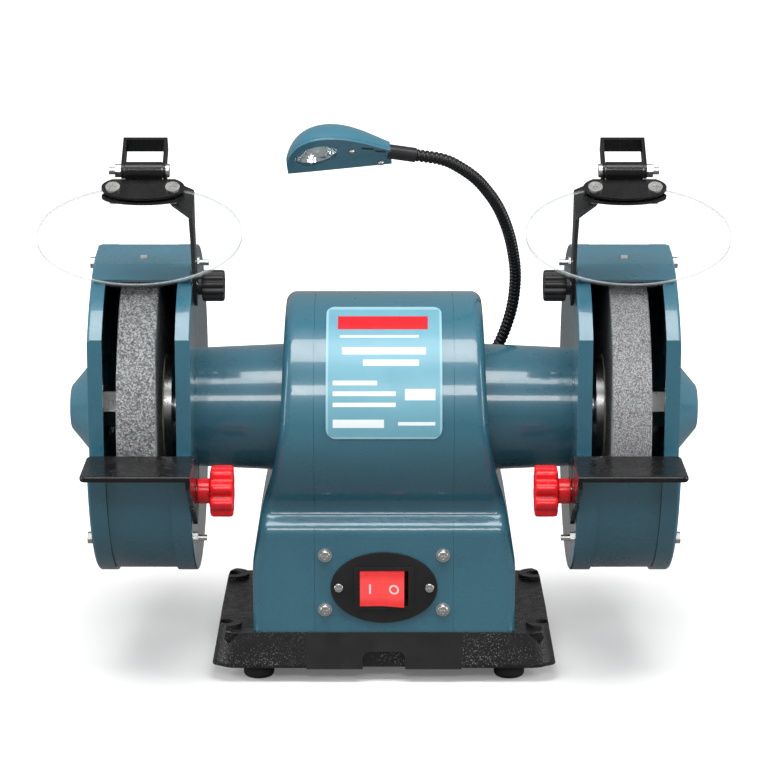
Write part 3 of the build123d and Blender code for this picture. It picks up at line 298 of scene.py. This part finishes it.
def label_film(name):
    """Light teal film with plain blank bars where printing would be."""
    f = Finish(name, Coat_Weight=0.1, Coat_Roughness=0.2, Specular_IOR_Level=0.3)
    x, _, z = f.axes()
    base = f.mix(f.mottle(60.0), (0.15, 0.36, 0.45), (0.17, 0.39, 0.48))
    low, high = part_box("nameplate")
    width, tall = high.x - low.x, high.z - low.z
    inner = f.calc("MULTIPLY", f.within(x, low.x + width * 0.02, high.x - width * 0.02),
                   f.within(z, low.z + tall * 0.02, high.z - tall * 0.015))
    color = f.mix(inner, (0.30, 0.52, 0.60), base)
    # each bar: left, right, bottom and top as shares of the plate, and whether it is pale or red
    bars = [(0.10, 0.88, 0.86, 0.945, 0), (0.12, 0.80, 0.805, 0.82, 1), (0.14, 0.86, 0.685, 0.735, 1),
            (0.32, 0.80, 0.60, 0.645, 1), (0.06, 0.44, 0.45, 0.485, 1), (0.06, 0.60, 0.365, 0.40, 1),
            (0.06, 0.60, 0.275, 0.31, 1), (0.68, 0.94, 0.33, 0.42, 1), (0.06, 0.50, 0.10, 0.17, 1),
            (0.62, 0.94, 0.12, 0.15, 1)]
    for x0, x1, z0, z1, pale in bars:
        area = f.calc("MULTIPLY", f.within(x, low.x + x0 * width, low.x + x1 * width),
                      f.within(z, low.z + z0 * tall, low.z + z1 * tall))
        color = f.mix(area, color, (0.80, 0.88, 0.91) if pale else (0.62, 0.015, 0.025))
    return f.surface(color, f.mottle(220.0, 0.28, 0.38), f.bump(f.noise(700.0), 0.06, 0.0002))


def clear_sheet(f, tint, rim=None):
    """Light passes straight through, with mirror glints that grow at grazing angles and a milky cut rim."""
    see, glint = f.add("ShaderNodeBsdfTransparent"), f.add("ShaderNodeBsdfGlossy")
    facing = f.add("ShaderNodeLayerWeight").outputs["Facing"]
    glance = f.spread(f.calc("POWER", facing, 5.0), 0.0, 1.0, 0.035, 0.8)
    see.inputs["Color"].default_value = (*tint, 1.0)
    f.link(f.mottle(90.0, 0.03, 0.07), glint.inputs["Roughness"])
    f.link(f.bump(f.noise(40.0, 1.0), 0.05, 0.0004), glint.inputs["Normal"])
    blend = f.add("ShaderNodeMixShader")
    f.link(glance, blend.inputs[0])
    f.link(see.outputs[0], blend.inputs[1])
    f.link(glint.outputs[0], blend.inputs[2])
    result = blend
    if rim is not None:
        f.surface((0.70, 0.75, 0.77, 1.0), 0.22)
        result = f.add("ShaderNodeMixShader")
        f.link(rim, result.inputs[0])
        f.link(blend.outputs[0], result.inputs[1])
        f.link(f.shader.outputs[0], result.inputs[2])
    f.link(result.outputs[0], f.out.inputs[0])
    return f.material


def shield_clear(name, side):
    """The eye shield: clear, with a pale polished rim."""
    f = Finish(name, Transmission_Weight=0.35)
    low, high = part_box(side + "_eye_shield")
    x, y, _ = f.axes()
    across = f.calc("DIVIDE", f.calc("SUBTRACT", x, (low.x + high.x) / 2), (high.x - low.x) / 2)
    along = f.calc("DIVIDE", f.calc("SUBTRACT", y, (low.y + high.y) / 2), (high.y - low.y) / 2)
    reach = f.squares(across, along)
    rim = f.spread(reach, 0.955, 0.985, 0.0, 0.55)
    return clear_sheet(f, (0.975, 0.985, 0.988), rim)


def lamp_axes():
    """The lamp's own directions: along it away from the collar, across it and up into its dome."""
    length = Vector((-math.cos(LAMP_LEAN), 0, -math.sin(LAMP_LEAN)))
    rise = length.cross(Vector((0, -math.cos(LAMP_ROLL), math.sin(LAMP_ROLL)))).normalized()
    return length, rise.cross(length).normalized(), rise


def lamp_place(along, across, up):
    """A point given in the lamp's own frame, in metres of the row frame."""
    length, side, rise = lamp_axes()
    return (LAMP_ORIGIN + length * along + side * across + rise * up) / 1000


def lamp_depth(f):
    """How far a point lies above the dome's flat rim, in metres."""
    rise = lamp_axes()[2]
    start = LAMP_ORIGIN / 1000
    axes = f.axes()
    parts = [f.calc("MULTIPLY", f.calc("SUBTRACT", axes[i], start[i]), rise[i]) for i in range(3)]
    return f.calc("ADD", f.calc("ADD", parts[0], parts[1]), parts[2])


def lamp_clear(name):
    """The lamp's window, with a frosted bulb behind it."""
    f = Finish(name, Emission_Strength=0.15)
    f.shader.inputs["Emission Color"].default_value = (1.0, 0.97, 0.9, 1.0)
    return clear_sheet(f, (0.95, 0.97, 0.98), f.spread(lamp_depth(f), -0.0002, 0.0004))


def lamp_bottom(name):
    """Teal paint outside and a bright dimpled reflector inside the lamp's mouth."""
    f = Finish(name, Coat_Weight=0.5, Coat_Roughness=0.08)
    mouth = f.spread(lamp_depth(f), -0.0001, 0.0)
    paint = f.mix(f.mottle(40.0), TEAL_DEEP, TEAL)
    f.link(mouth, f.shader.inputs["Metallic"])
    dimples = f.calc("MULTIPLY", f.cells(330.0), f.spread(mouth, 0.0, 1.0, 0.05, 1.0))
    return f.surface(f.mix(mouth, paint, (0.93, 0.93, 0.92)), f.spread(mouth, 0.0, 1.0, 0.26, 0.14),
                     f.bump(dimples, 0.4, 0.0007))


def copper(name):
    """Lacquered winding wire."""
    f = Finish(name, Metallic=0.8)
    x = f.axes()[0]
    strands = f.calc("SINE", f.calc("MULTIPLY", x, 4200.0))
    color = f.mix(f.mottle(200.0), (0.36, 0.12, 0.035), (0.62, 0.26, 0.09))
    return f.surface(color, f.mottle(300.0, 0.25, 0.4), f.bump(strands, 0.3, 0.0004))


def card(name):
    """The wheels' paper washers."""
    f = Finish(name, Specular_IOR_Level=0.2)
    color = f.mix(f.mottle(260.0, detail=5.0), (0.42, 0.36, 0.24), (0.6, 0.54, 0.4))
    return f.surface(color, f.mottle(500.0, 0.75, 0.92), f.bump(f.noise(900.0), 0.2, 0.0002))


FINISHES = {
    "blue_paint": enamel("teal_enamel"),
    "blue_casting": enamel("teal_cast_enamel", cast=True),
    "black_casting": speckled_casting("base_speckled_coat"),
    "black_panel": satin_black("front_panel_black", tone=0.016, gloss=0.42, grain=760.0, edge=0.07),
    "black_steel": satin_black("rest_black_paint", tone=0.006, gloss=0.26, grain=540.0, edge=0.10),
    "black_plastic": satin_black("moulded_black", tone=0.012, gloss=0.34, grain=700.0, edge=0.07),
    "red_plastic": red_moulding("knob_red", tone=(0.92, 0.008, 0.016), deep=(0.78, 0.005, 0.010)),
    "red_rocker": rocker_red("rocker_red"),
    "zinc_steel": metal("zinc_plate", (0.62, 0.62, 0.60), rough=0.30),
    "coarse_grit": grit("coarse_wheel_grit", (0.16, 0.163, 0.165), (0.42, 0.425, 0.43), scale=1000.0),
    "fine_grit": grit("fine_wheel_grit", (0.22, 0.22, 0.225), (0.44, 0.445, 0.45), scale=1400.0),
    "blotter_paper": card("blotter_card"),
    "rubber": satin_black("foot_rubber", tone=0.011, gloss=0.62, grain=420.0, edge=0.03),
    "motor_iron": metal("stack_iron", (0.30, 0.30, 0.31), rough=0.5, brushed=0.2),
    "winding_copper": copper("winding_copper"),
    "machined_steel": metal("turned_steel", (0.62, 0.62, 0.61), rough=0.3, brushed=0.12),
    "label_film": label_film("plate_film"),
    "lamp_reflector": lamp_clear("lamp_window"),
    "neck_steel": satin_black("neck_black", tone=0.008, gloss=0.28, grain=900.0, edge=0.12),
    "bright_zinc": metal("bright_zinc", (0.95, 0.95, 0.94), rough=0.42),
    "lamp_bottom": lamp_bottom("lamp_bottom"),
    "left_eye_shield": shield_clear("left_shield_clear", "left"),
    "right_eye_shield": shield_clear("right_shield_clear", "right"),
}


def dress(obj, material):
    obj.data.materials.clear()
    obj.data.materials.append(material)


def dress_frame():
    """Every CAD piece gets its finish and smooth shading on its curved faces."""
    own = {"deflector_bolts": "bright_zinc", "lamp_underside": "lamp_bottom",
           "left_eye_shield": "left_eye_shield", "right_eye_shield": "right_eye_shield"}
    for name, obj in nodes.items():
        dress(obj, FINISHES[own.get(name, SLOTS[name])])
        obj.data.shade_smooth()
        obj.data.set_sharp_from_angle(angle=SHARP_ANGLE)


# ---------------------------------------------------------------- geometry node helper
class Growth(NodeTree):
    """One geometry node tree with named inputs."""

    def __init__(self, name, inputs):
        self.tree = bpy.data.node_groups.new(name, "GeometryNodeTree")
        face = self.tree.interface
        face.new_socket("Geometry", in_out="INPUT", socket_type="NodeSocketGeometry")
        for label, kind in inputs:
            face.new_socket(label, in_out="INPUT", socket_type="NodeSocket" + kind)
        face.new_socket("Geometry", in_out="OUTPUT", socket_type="NodeSocketGeometry")
        self.given = self.add("NodeGroupInput").outputs
        self.result = self.add("NodeGroupOutput").inputs[0]

    def curve(self, value, points):
        node = self.add("ShaderNodeFloatCurve")
        line = node.mapping.curves[0]
        line.points[0].location, line.points[1].location = points[0], points[-1]
        for point in points[1:-1]:
            line.points.new(*point)
        for point in line.points:
            point.handle_type = "VECTOR"
        node.mapping.update()
        self.feed(node.inputs["Value"], value)
        return node.outputs[0]

    def close(self, mesh, material):
        painted = self.add("GeometryNodeSetMaterial")
        painted.inputs["Material"].default_value = material
        real = self.add("GeometryNodeRealizeInstances")
        self.link(mesh, real.inputs[0])
        self.link(real.outputs[0], painted.inputs["Geometry"])
        self.link(painted.outputs[0], self.result)

    def settle(self, source, name, **values):
        """Runs the tree on source and keeps the outcome as a plain mesh object."""
        modifier = source.modifiers.new("growth", "NODES")
        modifier.node_group = self.tree
        for item in self.tree.interface.items_tree:
            if item.in_out == "INPUT" and item.name.replace(" ", "_") in values:
                modifier[item.identifier] = values[item.name.replace(" ", "_")]
        bpy.context.view_layer.update()
        depsgraph = bpy.context.evaluated_depsgraph_get()
        mesh = bpy.data.meshes.new_from_object(source.evaluated_get(depsgraph), depsgraph=depsgraph)
        bpy.data.objects.remove(source)
        mesh.name = name
        mesh.shade_smooth()
        obj = bpy.data.objects.new(name, mesh)
        bpy.context.scene.collection.objects.link(obj)
        return obj


def seed_mesh(name):
    obj = bpy.data.objects.new(name, bpy.data.meshes.new(name))
    bpy.context.scene.collection.objects.link(obj)
    return obj


# ---------------------------------------------------------------- gooseneck
NECK_STATIONS = [(60.0, 95.0, 130.0), (63.5, 95.0, 156.0), (82.0, 90.5, 186.0), (90.0, 82.0, 214.0),
                 (91.3, 70.0, 240.0), (86.5, 52.0, 268.0), (77.0, 30.0, 294.0), (61.0, 6.0, 317.0),
                 (41.0, -11.0, 331.5), (20.5, -15.0, 335.0)]
NECK_SPLIT, NECK_RADIUS, RIB_PITCH, GROOVE_DEPTH = 5, 0.00415, 0.0031, 0.0011
STEPS_PER_RIB, HOSE_SIDES = 8.0, 20
BEND_SHARE, BEND_STEPS = 0.45, 8


def rounded_path(stations):
    """Straight runs joined by soft bends, in metres."""
    points = [Vector(p) / 1000 for p in stations]
    path = [points[0]]
    for a, b, c in zip(points, points[1:], points[2:]):
        reach = BEND_SHARE * min((b - a).length, (c - b).length)
        start, end = b + (a - b).normalized() * reach, b + (c - b).normalized() * reach
        for i in range(BEND_STEPS + 1):
            t = i / BEND_STEPS
            path.append(start * (1 - t) ** 2 + b * 2 * t * (1 - t) + end * t ** 2)
    return path + [points[-1]]


def gooseneck_tree():
    """A hose along a curve whose radius swells once at each rib."""
    g = Growth("gooseneck_ribs", [("Ribs", "Int"), ("Radius", "Float"), ("Groove", "Float")])
    _, ribs, radius, groove = g.given[:4]
    steps = g.add("GeometryNodeResampleCurve")
    g.link(g.given[0], steps.inputs["Curve"])
    g.link(g.calc("ADD", g.calc("MULTIPLY", ribs, STEPS_PER_RIB), 1.0), steps.inputs["Count"])
    along = g.add("GeometryNodeSplineParameter").outputs["Factor"]
    wave = g.calc("ABSOLUTE", g.calc("SINE", g.calc("MULTIPLY", g.calc("MULTIPLY", along, ribs), math.pi)))
    notch = g.calc("SUBTRACT", 1.0, g.calc("POWER", wave, 0.6))
    swell = g.calc("SUBTRACT", radius, g.calc("MULTIPLY", groove, notch))
    sized = g.add("GeometryNodeSetCurveRadius")
    g.link(steps.outputs[0], sized.inputs["Curve"])
    g.link(swell, sized.inputs["Radius"])
    ring = g.add("GeometryNodeCurvePrimitiveCircle")
    ring.inputs["Resolution"].default_value = HOSE_SIDES
    ring.inputs["Radius"].default_value = 1.0
    hose = g.add("GeometryNodeCurveToMesh")
    g.link(sized.outputs[0], hose.inputs["Curve"])
    g.link(ring.outputs["Curve"], hose.inputs["Profile Curve"])
    # where the node has a Scale input, the width comes from there and not from the curve's radius
    if "Scale" in hose.inputs:
        g.link(swell, hose.inputs["Scale"])
    hose.inputs["Fill Caps"].default_value = True
    g.close(hose.outputs[0], FINISHES["neck_steel"])
    return g


def make_gooseneck():
    path = rounded_path(NECK_STATIONS)
    length = sum((b - a).length for a, b in zip(path, path[1:]))
    data = bpy.data.curves.new("neck_path", "CURVE")
    data.dimensions = "3D"
    spline = data.splines.new("POLY")
    spline.points.add(len(path) - 1)
    for point, place in zip(spline.points, path):
        point.co = (*place, 1.0)
    source = bpy.data.objects.new("neck_path", data)
    bpy.context.scene.collection.objects.link(source)
    neck = gooseneck_tree().settle(source, "ribbed_gooseneck", Ribs=int(length / RIB_PITCH),
                                   Radius=NECK_RADIUS, Groove=GROOVE_DEPTH)
    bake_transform(neck)
    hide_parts("gooseneck_lower", "gooseneck_upper")


# ---------------------------------------------------------------- knobs
# How the knob's section runs from the middle of its face, at 0, round to the back of its hub, at 1
KNOB_RIM = [(0.0, 0.0), (0.12, 0.42), (0.18, 0.52), (0.30, 0.90), (0.38, 0.985), (0.46, 1.0),
            (0.56, 1.0), (0.64, 0.97), (0.70, 0.86), (0.76, 0.0), (1.0, 0.0)]
KNOB_CORE = [(0.0, 0.0), (0.12, 0.0), (0.70, 0.0), (0.76, 1.0), (0.94, 1.0), (0.955, 0.96), (1.0, 0.0)]
KNOB_FRONT = [(0.0, 0.10), (0.12, 0.10), (0.18, 0.02), (0.30, 0.0), (0.38, 0.05), (0.46, 0.16),
              (0.56, 0.84), (0.64, 0.96), (0.70, 1.0), (0.76, 1.0), (1.0, 1.0)]
KNOB_REAR = [(0.0, 0.0), (0.76, 0.0), (0.94, 0.97), (0.955, 1.0), (1.0, 1.0)]
KNOB_SIZES = {
    "_rest_knob": dict(Lobes=8, Depth=0.0034, Hub=0.0082, Grip=0.0150),
    "_arm_knob": dict(Lobes=12, Depth=0.0013, Hub=0.0062, Grip=0.0145),
}
KNOB_COLUMNS, KNOB_ROWS, WELD_DISTANCE, LOBE_SHARPNESS = 193, 61, 0.000001, 1.6


def knob_tree(name, material):
    """A grip turned about X whose rim is waved into lobes, with a plain hub behind it."""
    g = Growth(name, [("Lobes", "Int"), ("Radius", "Float"), ("Length", "Float"), ("Depth", "Float"),
                      ("Hub", "Float"), ("Grip", "Float")])
    _, lobes, radius, length, depth, hub, grip = g.given[:7]
    sheet = g.add("GeometryNodeMeshGrid")
    for label, value in (("Size X", 1.0), ("Size Y", 1.0),
                         ("Vertices X", KNOB_COLUMNS), ("Vertices Y", KNOB_ROWS)):
        sheet.inputs[label].default_value = value
    split = g.add("ShaderNodeSeparateXYZ")
    g.link(g.add("GeometryNodeInputPosition").outputs[0], split.inputs[0])
    turn = g.calc("MULTIPLY", g.calc("ADD", split.outputs[0], 0.5), math.tau)
    v = g.calc("ADD", split.outputs[1], 0.5)
    rim, core = g.curve(v, KNOB_RIM), g.curve(v, KNOB_CORE)
    front, rear = g.curve(v, KNOB_FRONT), g.curve(v, KNOB_REAR)
    lobe = g.calc("MULTIPLY", g.calc("COSINE", g.calc("MULTIPLY", turn, lobes)), 0.5)
    wave = g.calc("POWER", g.calc("ADD", 0.5, lobe), LOBE_SHARPNESS)
    dip = g.calc("MULTIPLY", g.calc("MULTIPLY", depth, wave), rim)
    reach = g.calc("MULTIPLY", rim, g.calc("SUBTRACT", radius, dip))
    reach = g.calc("ADD", reach, g.calc("MULTIPLY", core, hub))
    behind = g.calc("MULTIPLY", rear, g.calc("SUBTRACT", length, grip))
    axial = g.calc("ADD", g.calc("MULTIPLY", front, grip), behind)
    place = g.add("ShaderNodeCombineXYZ")
    g.link(axial, place.inputs[0])
    g.link(g.calc("MULTIPLY", reach, g.calc("COSINE", turn)), place.inputs[1])
    g.link(g.calc("MULTIPLY", reach, g.calc("SINE", turn)), place.inputs[2])
    moved = g.add("GeometryNodeSetPosition")
    g.link(sheet.outputs["Mesh"], moved.inputs["Geometry"])
    g.link(place.outputs[0], moved.inputs["Position"])
    welded = g.add("GeometryNodeMergeByDistance")
    welded.inputs["Distance"].default_value = WELD_DISTANCE
    g.link(moved.outputs[0], welded.inputs["Geometry"])
    g.close(welded.outputs[0], material)
    return g


def outward(mesh):
    """Turns the faces round if they point inwards."""
    mesh.calc_loop_triangles()
    volume = sum(mesh.vertices[t.vertices[0]].co.dot(
        mesh.vertices[t.vertices[1]].co.cross(mesh.vertices[t.vertices[2]].co)) for t in mesh.loop_triangles)
    if volume < 0:
        mesh.flip_normals()


def make_knobs():
    rest = knob_tree("rest_knob_grip", FINISHES["red_plastic"])
    arm = knob_tree("arm_knob_grip", FINISHES["black_plastic"])
    for side, sign in (("left", -1), ("right", 1)):
        for tree, kind, paint in ((rest, "_rest_knob", "red_plastic"), (arm, "_arm_knob", "black_plastic")):
            low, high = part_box(side + kind)
            knob = tree.settle(seed_mesh(side + kind + "_seed"), side + kind + "_grip",
                               Radius=(high.z - low.z) / 2, Length=high.x - low.x, **KNOB_SIZES[kind])
            middle = (low + high) / 2
            face = low.x if sign > 0 else high.x
            for vertex in knob.data.vertices:
                x, y, z = vertex.co
                vertex.co = (face + sign * x, middle.y + y, middle.z + z)
            outward(knob.data)
            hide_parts(side + kind)
            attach(knob, side + kind)


# ---------------------------------------------------------------- lamp fittings
# Places on the lamp's underside are in millimetres of the lamp's own frame
SCREW_SPOTS, SCREW_LEVEL = ((25.0, 9.5), (7.0, -4.5)), -2.9
SCREW_RADIUS, SCREW_HEIGHT, DOME_SHARE = 0.0019, 0.0012, 0.82
SCREW_SIDES, DOME_RINGS = 24, 12
VENT_SPOTS = ((14.5, 10.3, 4.0), (6.5, 6.5, 3.4))
VENT_HALF_WIDTH, VENT_SLANT, VENT_LEVELS = 0.9, 0.25, (-2.56, -2.4)
BOX_FACES = [(0, 1, 2, 3), (7, 6, 5, 4), (0, 4, 5, 1), (1, 5, 6, 2), (2, 6, 7, 3), (3, 7, 4, 0)]


def fittings_tree():
    """A domed screw head on every seed point, facing along the given turn."""
    g = Growth("lamp_screw_spread", [("Head Radius", "Float"), ("Head Height", "Float"), ("Turn", "Vector")])
    _, radius, height, turn = g.given[:4]
    head = g.add("GeometryNodeMeshCylinder")
    head.inputs["Vertices"].default_value = SCREW_SIDES
    g.link(radius, head.inputs["Radius"])
    g.link(height, head.inputs["Depth"])
    dome = g.add("GeometryNodeMeshUVSphere")
    dome.inputs["Segments"].default_value = SCREW_SIDES
    dome.inputs["Rings"].default_value = DOME_RINGS
    g.link(g.calc("MULTIPLY", radius, DOME_SHARE), dome.inputs["Radius"])
    both = g.add("GeometryNodeJoinGeometry")
    g.link(head.outputs["Mesh"], both.inputs[0])
    g.link(dome.outputs["Mesh"], both.inputs[0])
    spread = g.add("GeometryNodeInstanceOnPoints")
    g.link(g.given[0], spread.inputs["Points"])
    g.link(both.outputs[0], spread.inputs["Instance"])
    g.link(turn, spread.inputs["Rotation"])
    g.close(spread.outputs[0], FINISHES["zinc_steel"])
    return g


def make_lamp_fittings():
    seed = seed_mesh("lamp_screw_points")
    seed.data.from_pydata([lamp_place(along, across, SCREW_LEVEL) for along, across in SCREW_SPOTS], [], [])
    facing = lamp_place(0, 0, -1) - lamp_place(0, 0, 0)
    turn = facing.to_track_quat("Z", "Y").to_euler()
    screws = fittings_tree().settle(seed, "lamp_case_screws", Head_Radius=SCREW_RADIUS,
                                    Head_Height=SCREW_HEIGHT, Turn=tuple(turn))
    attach(screws, "lamp_head")
    width = VENT_HALF_WIDTH
    for i, (along, across, half) in enumerate(VENT_SPOTS):
        slot = seed_mesh("lamp_vent_slot_%d" % (i + 1))
        corners = [lamp_place(along + dx, across + dy + dx * VENT_SLANT, up) for up in VENT_LEVELS
                   for dx, dy in ((-half, -width), (half, -width), (half, width), (-half, width))]
        slot.data.from_pydata(corners, [], BOX_FACES)
        outward_about_centre(slot.data)
        dress(slot, FINISHES["black_plastic"])
        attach(slot, "lamp_head")


def outward_about_centre(mesh):
    """Turns each face of a small convex piece so that it points away from the middle."""
    middle = sum((v.co for v in mesh.vertices), Vector()) / len(mesh.vertices)
    for face in mesh.polygons:
        if face.normal.dot(face.center - middle) < 0:
            face.flip()


# ---------------------------------------------------------------- studio
WORLD_SEEN, WORLD_LIGHT = 1.0, 0.34
FLOOR_DROP, FLOOR_REACH = 0.0001, 6.0
CAMERA_PLACE, CAMERA_AIM = (0.0, -1.9349, 0.6342), (0.0, 0.0, 0.1772)
CAMERA_LENS, CAMERA_SENSOR, CAMERA_CLIP = 138.5, 36.0, 50.0
# each softbox: name, place, aim, width and height in metres, and power in watts
SOFTBOXES = [
    ("top_softbox", (0.0, -0.45, 1.35), (0.0, 0.0, 0.15), (1.3, 0.55), 17.0),
    ("left_softbox", (-1.35, -0.35, 0.55), (0.0, 0.0, 0.17), (0.35, 1.0), 12.0),
    ("right_softbox", (1.35, -0.35, 0.55), (0.0, 0.0, 0.17), (0.35, 1.0), 12.0),
    ("front_fill", (0.0, -2.1, 1.35), (0.0, 0.0, 0.15), (1.0, 0.4), 13.0),
]


def floor_finish():
    """Pale floor that glows a little further out, and throws back less light than it shows."""
    f = Finish("floor_white", Specular_IOR_Level=0.1)
    x, y, _ = f.axes()
    away = f.calc("SQRT", f.squares(x, y))
    f.shader.inputs["Emission Color"].default_value = (1.0, 1.0, 1.0, 1.0)
    f.link(f.spread(away, 0.16, 0.8, 0.12, 1.0), f.shader.inputs["Emission Strength"])
    tone = f.mix(f.noise(3.0), (0.90, 0.90, 0.90), (0.93, 0.93, 0.93))
    f.surface(tone, f.mottle(20.0, 0.5, 0.6))
    dull, choose = f.add("ShaderNodeBsdfDiffuse"), f.add("ShaderNodeMixShader")
    dull.inputs["Color"].default_value = (0.22, 0.22, 0.22, 1.0)
    f.link(f.add("ShaderNodeLightPath").outputs["Is Camera Ray"], choose.inputs[0])
    f.link(dull.outputs[0], choose.inputs[1])
    f.link(f.shader.outputs[0], choose.inputs[2])
    f.link(choose.outputs[0], f.out.inputs[0])
    return f.material


def make_studio():
    """White room, four softboxes, floor and camera."""
    scene = bpy.context.scene
    world = bpy.data.worlds.new("white_room")
    scene.world = world
    world.use_nodes = True
    tree = world.node_tree
    seen, lit = tree.nodes["Background"], tree.nodes.new("ShaderNodeBackground")
    seen.inputs["Color"].default_value = (1.0, 1.0, 1.0, 1.0)
    seen.inputs["Strength"].default_value = WORLD_SEEN
    lit.inputs["Color"].default_value = (1.0, 1.0, 1.0, 1.0)
    lit.inputs["Strength"].default_value = WORLD_LIGHT
    ray, choose = tree.nodes.new("ShaderNodeLightPath"), tree.nodes.new("ShaderNodeMixShader")
    tree.links.new(ray.outputs["Is Camera Ray"], choose.inputs[0])
    tree.links.new(lit.outputs[0], choose.inputs[1])
    tree.links.new(seen.outputs[0], choose.inputs[2])
    tree.links.new(choose.outputs[0], tree.nodes["World Output"].inputs[0])
    for name, place, aim, size, power in SOFTBOXES:
        light = bpy.data.lights.new(name, "AREA")
        light.shape = "RECTANGLE"
        light.size, light.size_y = size
        light.energy = power
        obj = bpy.data.objects.new(name, light)
        obj.location = place
        obj.rotation_euler = (Vector(aim) - Vector(place)).to_track_quat("-Z", "Y").to_euler()
        scene.collection.objects.link(obj)
    floor_mesh = bpy.data.meshes.new("floor")
    level, reach = first_low.z - FLOOR_DROP, FLOOR_REACH
    corners = [(-reach, -reach, level), (reach, -reach, level), (reach, reach, level), (-reach, reach, level)]
    floor_mesh.from_pydata(corners, [], [(0, 1, 2, 3)])
    floor = bpy.data.objects.new("floor", floor_mesh)
    scene.collection.objects.link(floor)
    dress(floor, floor_finish())
    camera = bpy.data.objects.new("camera", bpy.data.cameras.new("camera"))
    camera.data.lens, camera.data.sensor_width = CAMERA_LENS, CAMERA_SENSOR
    camera.location = CAMERA_PLACE
    camera.rotation_euler = (Vector(CAMERA_AIM) - camera.location).to_track_quat("-Z", "Y").to_euler()
    camera.data.clip_end = CAMERA_CLIP
    scene.collection.objects.link(camera)
    scene.camera = camera
    scene.view_settings.view_transform = "Standard"


dress_frame()
make_gooseneck()
make_knobs()
make_lamp_fittings()
make_studio()
